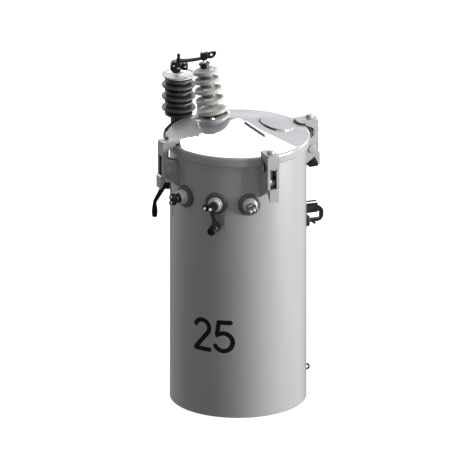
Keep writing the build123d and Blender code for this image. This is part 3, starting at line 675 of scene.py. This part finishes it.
def circle(radius, height, count):
    """Points of a level circle around the axis, from the front towards +X."""
    turns = [2 * math.pi * step / count for step in range(count)]
    return [(radius * math.sin(turn), -radius * math.cos(turn), height) for turn in turns]


print("bead helper ready")

# %% [markdown]
# The round blank disc closes a spare hole in the cover, and the short rib beside it is
# a spare lug. Both are welded on, so each gets a bead where it meets the cone. A dark
# arc along one side of the disc's edge is painted shade.

# %% Blank disc and rib
disc_radius = 51.0
disc_place = on_slope(120.0, 116.0)
disc = rounded([(0, 4), (disc_radius, 4), (disc_radius, -6)], 1.8)
piece("blank_disc", lathe(disc, disc_place, 160), cover_enamel, "painted_tank",
      "cover_blank_disc")


def on_cone(points, lift):
    """Line on the cone straight above or below points around the disc's centre."""
    spots = [spot_on(disc_place, *point) for point in points]
    return [(spot.x, spot.y, cone(math.hypot(spot.x, spot.y)) + lift) for spot in spots]


edge_line = on_cone(circle(disc_radius + 0.6, 0, 120), 0.4)
bead("blank_disc_weld", edge_line, 1.7, closed=True)
# dark arc on one side only: painted shade along the disc's edge
edge_shade_line = on_cone(circle(disc_radius + 1.1, 0, 120)[52:87], 1.2)
piece("blank_disc_painted_shade", tube(edge_shade_line, 1.9, sides=10), casting, "gasket_rubber")

softened("cover_rib", 1.0, cover_enamel)
rib_turn = spin(65.0)
for where, across in (("left", -3.8), ("right", 3.8)):
    rib_line = [rib_turn @ Vector((across, -distance, cone(distance) + 0.6))
                for distance in range(30, 116, 3)]
    bead(f"rib_weld_{where}", rib_line, 1.5)
print("cover fittings made")

# %% [markdown]
# ## Cover clamps
# Four pressed channels hook over the skirt. A long screw pulls each one down against a
# cross pin that sits in a lug on the tank. The channels come from the CAD with rounded
# edges, and their noses are drawn out a little further over the cover. Screws are made
# here, with a washer and a real thread. Three have a smooth dome, painted over with the
# clamp. The front left one holds the arrester's ground lead, and has a small dark head.

# %% Bolt helpers
def head(across, height, place, base=0.0):
    """Hexagonal head that narrows to the top, with a slightly raised round face."""
    form = prism(hexagon(across), base, base + height, place, bevel=0.0)
    cut = bmesh.new()
    cut.from_mesh(form)
    inverse = place.inverted()
    for vertex in cut.verts:
        local = inverse @ vertex.co * 1000
        if local.z > base + height - 0.01:
            local.x *= 0.88
            local.y *= 0.88
            vertex.co = place @ (local / 1000)
    cut.to_mesh(form)
    cut.free()
    face = [(0, base + height + 0.35), (across * 0.36, base + height + 0.35),
            (across * 0.45, base + height - 0.2)]
    cap = lathe(face, place, 32)
    return joined([smooth(form, 20), cap])


def screw_thread(radius, length, place, pitch=2.0):
    """Threaded rod, turned as rings one thread apart."""
    outline = [(0, 0), (radius - 0.8, 0)]
    for turn in range(int(length / pitch)):
        height = turn * pitch
        outline += [(radius - 0.55, height + 0.1 * pitch), (radius, height + 0.45 * pitch),
                    (radius, height + 0.6 * pitch), (radius - 0.55, height + 0.95 * pitch)]
    outline += [(radius - 1.0, length), (0, length)]
    return lathe(outline, place, 40, 25)


print("bolt helpers ready")

# %% Clamps, bolts and pins
clamp_azimuths = {"front_left": -45.0, "front_right": 45.0,
                  "back_right": 135.0, "back_left": -135.0}
nose_growth = {"front_left": 7.0, "front_right": 3.0, "back_right": 15.0, "back_left": 15.0}
screw_distance = 233.0
clamp_sheet = 4.0
clamp_top = cone(176.0) + 3.6 + clamp_sheet
pin_height = rim_plane - 78.0
screws, washers, pins = [], [], []
for where, azimuth in clamp_azimuths.items():
    clamp = softened(f"cover_clamp_{where}", 1.5)
    back_home = at(azimuth).inverted()
    for vertex in clamp.data.vertices:
        local = back_home @ vertex.co * 1000
        if local.z > clamp_top - clamp_sheet - 0.4 and -local.y < tank_radius + 1:
            local.y += nose_growth[where]
            vertex.co = at(azimuth) @ (local / 1000)
    top = at(azimuth, screw_distance, clamp_top)
    washer = rounded([(7, 0), (13, 0), (13, 1.6), (10.6, 3.0), (7, 3.0)], 0.7)
    washers.append(lathe(washer, top, 64))
    if where == "front_left":
        small_head = head(10.0, 7.0, top, 3.0)
    else:
        dome = rounded([(8.4, 3), (12, 3), (12, 6), (10.6, 9.4), (6.4, 11.6), (0, 12)], 1.8)
        screws.append(lathe(dome, top, 64))
    shank = at(azimuth, screw_distance, clamp_top - 96.0)
    screws.append(screw_thread(6.5, 96.0, shank))
    pin_place = at(azimuth, screw_distance, pin_height) @ spin(90, "Y")
    cheek, end = 18.6, 22.5
    pin = rounded([(0, -end), (11.5, -end), (12.5, 1.2 - end), (12.5, -cheek), (10, -cheek),
                   (10, cheek), (12.5, cheek), (12.5, end - 1.2), (11.5, end), (0, end)], 0.6, 3)
    pins.append(lathe(pin, pin_place, 64))
piece("clamp_screw_set", screws, fitting_enamel, "bright_steel", "clamp_screws")
piece("clamp_washers", washers, fitting_enamel, "painted_fitting")
piece("lead_bolt", small_head, casting, "dark_metal")
piece("clamp_pin_set", pins, fitting_enamel, "painted_fitting", "clamp_pins")
# the lugs take their slot's black finish, which paints the shade inside the clamps' slots
softened("clamp_lugs", 0.8)
print("clamps:", len(clamp_azimuths))

# %% [markdown]
# Black pieces paint shade at the clamps: a pad under a clamp's nose draws the dark line
# beneath it, and a block fills the throat behind the skirt, where it stands for shade and
# keeps the key light out. The back clamps also carry a pointed black block below. A
# black sheet paints the shade in the slot of the front left clamp, and a cotter, nearly
# white as a painted highlight, holds the front right pin. A thin tube under the skirt's
# foot paints its shadow line.

# %% Clamp shade blocks
pointed_block = [(-13, -227), (13, -227), (13, -256), (0, -260), (-13, -256)]
shade_blocks = []
for where, azimuth in clamp_azimuths.items():
    length = 9 + nose_growth[where]
    pad_middle = 212 - length / 2
    pad_place = on_slope(azimuth, pad_middle, 0.15)
    # painted shade: black pad under the nose
    if where != "front_right":
        shade_blocks.append(prism(box_outline(38.4, length), 0, 5.6, pad_place, 0.8))
    # painted shade: black block in the throat, which also keeps the key light out
    if where != "front_left":
        shade_blocks.append(prism(box_outline(27, 9), rim_plane - 58, rim_plane - 5,
                             at(azimuth, 220.2), 1.0))
    if where.startswith("back"):
        shade_blocks.append(prism(pointed_block, rim_plane - 138, rim_plane - 97, at(azimuth), 1.5))
piece("clamp_shade_blocks", shade_blocks, black_plastic, "gasket_rubber")
# painted shade: black sheet in the front left slot
shade_sheet_place = at(clamp_azimuths["front_left"], 246.0)
shade_sheet = prism(box_outline(26, 2), rim_plane - 92, rim_plane - 28, shade_sheet_place, 0.4)
piece("slot_painted_shade", shade_sheet, black_plastic, "gasket_rubber")
# the cotter's nearly white finish is a painted highlight
cotter = prism([(-10.4, -242), (-2, -242), (-2, -246), (-10.4, -246)], 753, 761,
               at(clamp_azimuths["front_right"]), 0.6)
piece("cotter", cotter, highlight_white, "bright_steel")
# painted shadow: thin dark tube under the skirt's foot, right of the front right clamp
skirt_shadow_line = circle(212.0, skirt_foot - 0.4, 360)[53:75]
piece("skirt_painted_shadow", tube(skirt_shadow_line, 1.0, sides=10), rubber, "gasket_rubber")
print("rubbers:", len(shade_blocks))

# %% [markdown]
# ## Low voltage bushings
# Three short porcelain drums pass through the tank wall, each in a grey gasket ring. The
# terminal in front is a stud nut, a plate washer and a small two bolt wire clamp. The
# middle one holds the neutral strap in place of the washer. Real fittings are rarely a
# matched set: the clamps are turned different ways. The left bolts are dull zinc, while
# the middle and right bolts, with the right washer, are nearly white as painted
# highlights.

# %% Gasket rings and drums
low_voltage_height = rim_plane - 150.0
low_voltage_azimuths = {"left": -30.0, "middle": 2.0, "right": 30.0}
seat_outline = rounded([(22.8, -4), (34, -4), (34, 4.6), (32.4, 7), (28, 8.4), (24.2, 8.4),
                        (22.8, 7), (22.8, -4)], 1.6)
drum_outline = rounded([
    (0, -4), (22.4, -4), (22.4, 12.6), (21.6, 13.8), (20.2, 14.4), (20, 16.6), (20.6, 17.4),
    (20.4, 21.6), (19.6, 22.6), (18.8, 23.2), (18.6, 25.8), (17.4, 27), (0, 27),
], 1.4)
seats, drums = [], []
for where, azimuth in low_voltage_azimuths.items():
    place = at(azimuth, tank_radius, low_voltage_height) @ outwards
    seats.append(lathe(seat_outline, place, 96))
    drums.append(lathe(drum_outline, place, 128))
piece("gasket_rings", seats, rubber, "gasket_rubber", "low_voltage_seats")
piece("porcelain_drums", drums, porcelain, "porcelain", "low_voltage_bushings")
print("low voltage drums:", len(drums))

# %% Terminals
drum_end = tank_radius + 27.0
nut_height, plate, block_height = 10.0, 2.2, 14.0
base = nut_height + plate
# for each terminal: turn, offset, bolt pitch, bolt size, metal of the clamp and finish of
# # the bolts, the nearly white one a painted highlight
terminals = {
    "left": (90.0, 0.0, 17.0, 11.0, casting, dull_zinc),
    "middle": (0.0, -10.0, 17.0, 8.0, casting, highlight_white),
    "right": (20.0, 0.0, 11.0, 8.0, dull_zinc, highlight_white),
}
for where, (turn, offset, pitch, across, metal, bolt_finish) in terminals.items():
    place = at(low_voltage_azimuths[where], drum_end, low_voltage_height) @ outwards
    turned = place @ spin(turn) @ shift(offset, 0, 0)
    nut = head(26.0, nut_height - 0.4, place)
    block = prism(box_outline(33.0, 18.0), base, base + block_height, turned, bevel=3.0)
    stud = lathe([(0, 6), (6, 6), (6, base + 1), (0, base + 1)], place, 32)
    piece(f"terminal_{where}", [nut, block, stud], metal, "dark_metal",
          f"low_voltage_terminal_{where}")
    # bolts, washer and collar in the bolt finish; the nearly white one paints highlights
    bright = []
    for side in (-pitch / 2, pitch / 2):
        bolt_spot = turned @ shift(side, 0, base + block_height)
        bright.append(head(across, 6.4, bolt_spot, 0.2))
    if where != "middle":
        ring = rounded([(6, 0), (12, 0), (12, plate), (6, plate)], 0.5)
        bright.append(lathe(ring, place @ shift(0, 0, nut_height), 64))
    if where == "left":
        collar = rounded([(13.2, -0.2), (16.2, -0.2), (16.2, 2.2), (13.2, 2.2),
                          (13.2, -0.2)], 0.5)
        bright.append(lathe(collar, place, 64))
    piece(f"terminal_bolts_{where}", bright, bolt_finish, "bright_steel")
softened("neutral_strap", 0.4)
print("terminals:", len(terminals))

# %% [markdown]
# The strap ends on a ground boss lower on the wall: a zinc plated nut holds it, and a
# dark connector with a hollow end stands out from the stud. The pad beside it is a spare
# ground point, with a strip of sealant along two sides.

# %% Ground boss
softened("ground_boss", 0.8)
boss_face = at(low_voltage_azimuths["middle"], tank_radius + 13.2, low_voltage_height - 75.0)
ground_place = boss_face @ shift(-2, 0, 0) @ outwards
piece("ground_nut_dressed", head(20.0, 7.6, ground_place), zinc, "bright_steel", "ground_nut")
connector = rounded([(0, 7.6), (5, 7.6), (5, 10.4), (11, 10.6), (12.4, 12), (12.4, 30.6),
                     (11, 32), (9, 32), (8.4, 27), (0, 27)], 0.8)
piece("ground_connector", lathe(connector, ground_place, 64), casting,
      "dark_metal", "ground_screw")
softened("ground_pad", 1.0, pad_enamel)
seal_side = prism([(32.6, -204.7), (33.8, -204.7), (33.8, -200), (32.6, -200)],
                  608.4, 641.4, bevel=0.3)
seal_foot = prism([(15, -204.7), (33.8, -204.7), (33.8, -200), (15, -202)],
                  607.8, 609.2, bevel=0.3)
piece("ground_pad_seal", [seal_side, seal_foot], rubber, "gasket_rubber")
print("low voltage side made")

# %% [markdown]
# ## High voltage bushing
# A tall porcelain with drooping sheds, which throw rain clear of the body. It leans out
# from the tank's axis, and its sheds grow towards the foot. The outline is drawn shed by
# shed and then turned. The foot with the lowest shed is a piece of its own, because only
# that part may be mirrored in the cover: the rest would draw dark streaks across its
# white front. The castings and wires above are left out of reflections for the same
# reason.

# %% Shed outline
def shed(core, rim, height, half, rise=3.0):
    """Half outline of one shed with a thick rolled rim, from its underside up."""
    roll = half * 0.75
    return [
        (core, height - half + 1.0),
        (rim - roll * 1.6, height - half + 0.6),
        (rim - roll, height - half),
        (rim - roll * 0.3, height - half * 0.8),
        (rim, height - half * 0.2),
        (rim - roll * 0.1, height + half * 0.4),
        (rim - roll * 0.6, height + half * 0.9),
        (rim - roll * 1.5, height + half),
        (core + 2.0, height + half + rise),
        (core, height + half + rise + 1.0),
    ]


def insulator(foot, sheds, top, place, half, core):
    """Turned housing: a foot, sheds given as (height, radius) pairs, and a top."""
    outline = list(foot)
    for height, rim in sorted(sheds):
        outline += shed(core, rim, height, half)
    outline += top
    return lathe(rounded(outline, half * 0.3, 3), place, 160, 60)


bushing_azimuth, bushing_distance = -90.0, 78.0
lean_azimuth, lean = -96.0, 10.0        # the way it leans, and by how many degrees
bushing_base = (at(bushing_azimuth, bushing_distance, cone(bushing_distance))
                @ spin(lean_azimuth - bushing_azimuth) @ spin(lean, "X"))
sheds = [(32, 47), (65, 44), (96, 42.5), (126, 39), (153, 37.5)]
foot = [(0, 7.4), (36.4, 7.4), (37, 8.4), (37, 17.4), (36, 18.4), (24, 20.5)]
lower = insulator(foot, sheds[:1], [(21, 44), (0, 44)], bushing_base, 7.0, 22.0)
upper = insulator([(0, 42)], sheds[1:], [(21, 163.4), (0, 163.4)], bushing_base, 7.0, 22.0)
piece("high_voltage_foot", lower, porcelain_painted_shade, "porcelain")
piece("high_voltage_porcelain", upper, porcelain_painted_shade, "porcelain", "high_voltage_bushing",
      mirrored=False)
softened("bushing_boss", 1.6, cover_enamel)
print("sheds:", len(sheds))

# %% Clamp ring with bolts
ring_turn = bushing_base @ spin(20.0 - lean_azimuth)
ring = rounded([(37.4, 7), (52, 7), (52, 12), (46, 16), (37.4, 16), (37.4, 7)], 1.6)
piece("clamp_ring", lathe(ring, bushing_base), fitting_enamel, "painted_fitting",
      "bushing_clamp_ring")
ring_bolts = [head(12.5, 5.4, ring_turn @ spin(turn) @ shift(0, -44.7, 16))
              for turn in (0, 90, 180, 270)]
piece("clamp_ring_bolts", ring_bolts, zinc, "bright_steel")
print("ring bolts:", len(ring_bolts))

# %% Cap and stud
cap = rounded([(0, 163), (12.2, 163), (13, 164), (13, 173.4), (14, 174.2), (16.2, 174.4),
               (17, 175.4), (17, 179.6), (15.8, 181), (0, 181)], 0.9)
piece("cap_casting", lathe(cap, bushing_base, 96), casting, "dark_metal",
      "bushing_cap", mirrored=False)
stud_place = bushing_base @ shift(0, 0, 181)
piece("bushing_stud_dressed", screw_thread(5.0, 7.0, stud_place, 1.4), zinc,
      "bright_steel", "bushing_stud", mirrored=False)
print("high voltage side made")

# %% [markdown]
# The wire clamp on the stud is a black casting with a tongue on one side, and a hole
# in the tongue takes the line. Both are outlines in the upright plane, pushed out to
# a thickness. A plate with a hole can't be one flat face, so rays are drawn outwards
# from the hole, and faces are laid from ray to ray between the hole and the edge.

# %% Wire clamp and its eye
# an outline's x runs towards -Y, its y upwards and its thickness along X
facing = Matrix(((0, 0, -1, 0), (-1, 0, 0, 0), (0, 1, 0, 0), (0, 0, 0, 1)))


def ray_to_outline(centre, turn, outline):
    """Where a ray from the centre meets a closed outline."""
    way = Vector((math.cos(turn), math.sin(turn)))
    best = 0.0
    for first, second in zip(outline, outline[1:] + outline[:1]):
        edge = Vector(second) - Vector(first)
        offset = Vector(first) - Vector(centre)
        cross = way.x * edge.y - way.y * edge.x
        if abs(cross) > 1e-9:
            distance = (offset.x * edge.y - offset.y * edge.x) / cross
            along = (offset.x * way.y - offset.y * way.x) / cross
            if distance > 0 and -1e-6 <= along <= 1 + 1e-6:
                best = max(best, distance)
    return Vector(centre) + way * best


def eye_plate(outline, centre, hole, thickness, place, edge=1.6, steps=64):
    """Plate with a round hole and a rolled rim, centred on its own plane."""
    half = thickness / 2
    rings = []
    for step in range(steps):
        turn = 2 * math.pi * step / steps
        rim = ray_to_outline(centre, turn, outline)
        way = (rim - Vector(centre)).normalized()
        bore = Vector(centre) + way * hole
        section = [
            (bore + way * edge * 0.5, half), (rim - way * edge, half),
            (rim - way * edge * 0.3, half - edge * 0.3), (rim, half - edge),
            (rim, edge - half), (rim - way * edge * 0.3, edge * 0.3 - half),
            (rim - way * edge, -half), (bore + way * edge * 0.5, -half),
            (bore, edge * 0.5 - half), (bore, half - edge * 0.5),
        ]
        rings.append([place @ (Vector((spot.x, spot.y, depth)) / 1000)
                      for spot, depth in section])
    return skin(rings, closed=True, angle=35.0)


wire_azimuth = 110.0            # both wire clamps are turned this way
grip_place = bushing_base @ spin(wire_azimuth - lean_azimuth) @ shift(0, 0, 188)
grip_outline = [(-8, 21), (-8, 11), (-5.5, 4), (-1, 0.4), (8, 0.4), (12.5, 4), (16, 12),
                (16, 21), (13.5, 24), (-5.5, 24)]
tongue_outline = [(12, 22.8), (34, 23.4), (40, 21.6), (41.5, 17.5), (38, 11), (31, 5),
                  (25, 2.5), (12, 4)]
grip_body = prism(grip_outline, -9, 9, grip_place @ facing, 2.2, 25.0)
tongue = eye_plate(tongue_outline, (25.5, 13.8), 3.7, 9.0, grip_place @ facing)
piece("wire_clamp", [grip_body, tongue], casting, "dark_metal", "bushing_wire_clamp",
      mirrored=False)
grip_bolt = head(9.0, 3.6, grip_place @ shift(0, 0.5, 23.7))
piece("wire_clamp_bolt", grip_bolt, zinc, "bright_steel", mirrored=False)
print("wire clamp made")

# %% [markdown]
# ## Surge arrester
# The arrester protects the bushing. Its polymer housing has thinner sheds, in turn large
# and small. The cap is a white disc, dished like a saucer, with a collar in the middle
# and a grey band around its rim.

# %% Arrester
arrester_azimuth, arrester_distance = -116.0, 256.5
arrester_base = at(arrester_azimuth, arrester_distance, rim_plane)
large = [(15, 51), (51, 51), (87, 51)]
small = [(-3, 42), (33, 42), (69, 42), (104, 42)]
foot = [(0, -14), (23, -14), (24, -13)]
body = insulator(foot, large + small, [(30, 113), (29, 114), (0, 114)],
                 arrester_base, 4.0, 30.0)
piece("arrester_housing", body, polymer, "arrester_polymer", "arrester_body")
disc = rounded([(0, 114), (45, 114), (49, 116.5), (49.4, 120), (48.2, 120.8), (46.4, 119.4),
                (42, 116.2), (34, 115), (17.6, 114.8), (16.6, 116), (16.6, 124), (15.6, 125),
                (0, 125)], 1.2)
piece("arrester_disc", lathe(disc, arrester_base, 160), white_glaze,
      "arrester_disc", "arrester_top")
rim_band = rounded([(47.9, 119), (49.6, 119), (49.6, 121), (47.9, 121), (47.9, 119)], 0.4)
piece("disc_rim_band", lathe(rim_band, arrester_base, 160), fitting_enamel, "arrester_disc")
softened("arrester_stem", 0.8)
softened("arrester_bracket", 0.8)
print("arrester made")

# %% [markdown]
# The line clamp on top is a black casting of two rounded lobes that grip the wire
# between them, a large one and a small one. Each lobe is an outline pushed out to a
# thickness, with its edges well rounded. A pointed stud screws them together, and small
# bright bolts show on their faces.

# %% Line clamp
def lobe(width, height, along, up):
    """Rounded lobe in millimetres, an upright outline with a thickness, around a centre."""
    outline = []
    for step in range(40):
        turn = 2 * math.pi * step / 40
        across, rise = [math.copysign(abs(value) ** 0.8, value)
                        for value in (math.cos(turn), math.sin(turn))]
        outline.append((along + width / 2 * across, up + height / 2 * rise))
    return prism(outline, -13.0, 13.0, clamp_place @ facing, 4.5, 60.0)


clamp_place = arrester_base @ spin(wire_azimuth - arrester_azimuth) @ shift(0, 0, 125)
bridge_place = clamp_place @ shift(0, -8, 18.5) @ spin(90, "Y")
knob = [(0, 33), (7.2, 33), (8.0, 36), (6.2, 44), (4.6, 46), (4.4, 50), (6.0, 53), (5.0, 56),
        (2.6, 59), (0, 60.5)]
piece("line_clamp", [
    lobe(33.0, 37.0, -8.5, 18.5),
    lobe(20.0, 24.0, 18.0, 20.0),
    lathe(rounded([(0, -11), (6, -11), (6, 11), (0, 11)], 1.5), bridge_place, 32),
    lathe(rounded(knob, 1.6), clamp_place, 48),
], casting, "dark_metal", "arrester_clamp")
lobe_bolts = [head(6.5, 2.6, clamp_place @ facing @ shift(along, up, 12.6))
              for along, up in ((-15.0, 25.0), (19.0, 22.0), (-2.0, 17.0))]
piece("line_clamp_bolts", lobe_bolts, zinc, "bright_steel")
print("line clamp made")

# %% [markdown]
# ## Handle, lugs and hangers
# The breaker's handle is a bent rod that thins out from its hub, with a ribbed grip at
# the end. Each lifting lug keeps its CAD form and gets a pale sheet on top as painted
# light, and a dark lip beside it and a dark strip at its foot as painted shade. The rest
# of the ironwork only gets rounded edges.

# %% Ironwork
softened("breaker_handle_hub", 0.8)
handle_azimuth = -72.0
# distance from the axis, height and radius of the rod
rod = [(218, 661, 8.2), (233, 633.5, 7.2), (243, 615, 6.3), (246.6, 608.4, 5.9),
       (247.8, 603, 5.6), (248, 597, 5.4), (248, 580, 5.2), (248, 562, 5.2)]
rod_line = [(0, -distance, height) for distance, height, radius in rod]
rod_mesh = tube(rod_line, [radius for distance, height, radius in rod],
                sides=32, place=at(handle_azimuth))
piece("handle_rod", rod_mesh, black_plastic, "dark_metal", "breaker_handle")
grip_outline = [(4.8, 4), (4.8, 0.6), (6.0, 0)]
for rib, radius in enumerate((7.6, 8.2, 8.7, 8.8, 8.6, 8.0, 7.2, 6.4)):
    foot = rib * 4.9
    grip_outline += [(radius, foot + 1.0), (radius, foot + 3.6),
                     (radius - 0.6, foot + 4.2), (radius - 0.6, foot + 5.2)]
grip_outline += [(5.6, 42.0), (4.8, 43.0), (4.8, 40)]
grip = lathe(grip_outline, at(handle_azimuth, 248.0, 559.0), 64)
piece("handle_grip_ribbed", grip, black_plastic, "grip_plastic", "breaker_handle_grip")
# pale sheet: painted light on the lug's top; dark lip and foot strip: painted shade
lug_light_outline = [(-16.4, -204), (16.4, -204), (16.4, -244.4), (-16.4, -244.4)]
lug_shade_foot = [(-15, -203.2), (15, -203.2), (15, -220.5), (-15, -220.5)]
softened("lifting_lug_left", 1.0)
softened("lifting_lug_right", 1.0)
for where, side in {"right": 1, "left": -1}.items():
    lug = at(side * 130.0)
    light_sheet = prism(lug_light_outline, 583.1, 584.6, lug, 0.4)
    piece(f"lug_painted_light_{where}", light_sheet, highlight_white, "bright_steel")
    shade_lip = [(side * x, y) for x, y in [(-8.5, -204), (-4, -204), (-4, -244.8), (-8.5, -244.8)]]
    shade_parts = [prism(shade_lip, 583, 588, lug, 0.6), prism(lug_shade_foot, 511, 541, lug, 0.8)]
    piece(f"lug_painted_shade_{where}", shade_parts, casting, "dark_metal")
softened("ground_eye", 0.3)
softened("pole_hanger_upper", 1.0)
softened("pole_hanger_lower", 1.0)
print("ironwork softened")

# %% [markdown]
# Two short wires stay on the part: the jumper from the arrester to the bushing, and the
# arrester's ground lead, which runs around the skirt to the front left clamp. Each is a
# line of points with a bar swept along it.

# %% Wires
jumper_from = spot_on(clamp_place, 0, -3, 36.0)
jumper_to = spot_on(grip_place, 0, -4, 8.0)
jumper_line = []
for step in range(17):
    share = step / 16
    sag = Vector((0, 0, 10.0 * share * (1 - share)))
    jumper_line.append(jumper_from.lerp(jumper_to, share) - sag)
jumper_radii = [6.2 - 0.06 * step for step in range(17)]
piece("jumper", tube(jumper_line, jumper_radii, sides=20), black_plastic,
      "black_wire", "jumper_wire", mirrored=False)

# azimuth, distance and height
lead_points = [(arrester_azimuth, arrester_distance, 786), (-109.0, 221.0, 817)]
lead_points += [(-109.0 + step * 3.0, 218.6, 821 - max(0, step - 12) * 1.4)
                for step in range(1, 18)]
lead_points += [(-52.0, 220.5, 814.5), (clamp_azimuths["front_left"], screw_distance, 814.5)]
lead_line = [spot_on(at(*point), 0, 0, 0) for point in lead_points]
piece("ground_lead", tube(lead_line, 4.0, sides=20), black_plastic,
      "black_wire", "arrester_ground_lead")
print("wires made")

# %% [markdown]
# ## Rating numerals
# The rating is stencilled on the front in black paint, as plain round ended strokes. A
# font would bring a file and a style of its own, so each figure is a line of points, and
# the stroke around it is a thin skin of paint wrapped on the tank.

# %% Numerals
numeral_height = 101.0
stroke = 14.0
numeral_foot = 205.0


def arc(centre, radius, start, end, steps):
    """Points on an arc, with angles in degrees from the right, anticlockwise."""
    turns = [math.radians(start + (end - start) * step / steps) for step in range(steps + 1)]
    return [(centre[0] + radius * math.cos(turn), centre[1] + radius * math.sin(turn))
            for turn in turns]


def stroke_sides(points, width):
    """Left and right side of a stroke of a given width along a line of points."""
    left, right = [], []
    for index, point in enumerate(points):
        before = points[max(index - 1, 0)]
        after = points[min(index + 1, len(points) - 1)]
        along = (after - before).normalized()
        side = Vector((-along.y, along.x)) * width / 2
        left.append(point + side)
        right.append(point - side)
    return left, right


def painted(lines, width, azimuth, foot, lift=0.25):
    """Thin painted strokes on the tank: (right, up) points in millimetres from a corner."""
    vertices, faces = [], []

    def spot(x, y):
        angle = math.radians(azimuth) + x / tank_radius
        radius = tank_radius + lift
        point = Vector((radius * math.sin(angle), -radius * math.cos(angle), foot + y))
        vertices.append(point / 1000)
        return len(vertices) - 1

    for line in lines:
        fine = []
        for first, second in zip(line, line[1:]):
            count = max(1, round(math.dist(first, second) / 2.0))
            fine += [Vector(first).lerp(Vector(second), step / count) for step in range(count)]
        fine.append(Vector(line[-1]))
        left, right = stroke_sides(fine, width)
        rows = [[spot(a.x + (b.x - a.x) * t / 4, a.y + (b.y - a.y) * t / 4) for t in range(5)]
                for a, b in zip(left, right)]
        for first, second in zip(rows, rows[1:]):
            for index in range(4):
                faces.append((first[index], first[index + 1], second[index + 1], second[index]))
        for end, sign in ((0, -1), (-1, 1)):
            centre = fine[end]
            along = (fine[1] - fine[0] if end == 0 else fine[-1] - fine[-2]).normalized() * sign
            start = math.atan2(along.y, along.x) - math.pi / 2
            turns = [start + math.pi * step / 12 for step in range(13)]
            half = width / 2
            fan = [spot(centre.x + half * math.cos(turn), centre.y + half * math.sin(turn))
                   for turn in turns]
            hub = spot(centre.x, centre.y)
            faces += [(hub, fan[step], fan[step + 1]) for step in range(12)]
    return mesh_of(vertices, faces)


two = arc((28.5, 72.5), 23.5, 160, -28, 28) + [(45, 55), (5.5, 6.5)]
two_foot = [(5.5, 5.0), (53.0, 5.0)]
five_top = [(48.5, 95.5), (13.0, 95.5)]
five_side = [(13.0, 95.5), (8.0, 56.0)]
five_bowl = arc((27.5, 33.5), 28.0, 132, -152, 48)
figures = [
    painted([two, two_foot], stroke, -19.2, numeral_foot),
    painted([five_top, five_side, five_bowl], stroke, 0.3, numeral_foot),
]
piece("rating_numerals", figures, black_paint, "black_wire")
print("numerals:", numeral_height, "mm high")

# %% [markdown]
# ## Finish
# The last cell counts the pieces made.

# %% Count the pieces
print("pieces:", len(made))
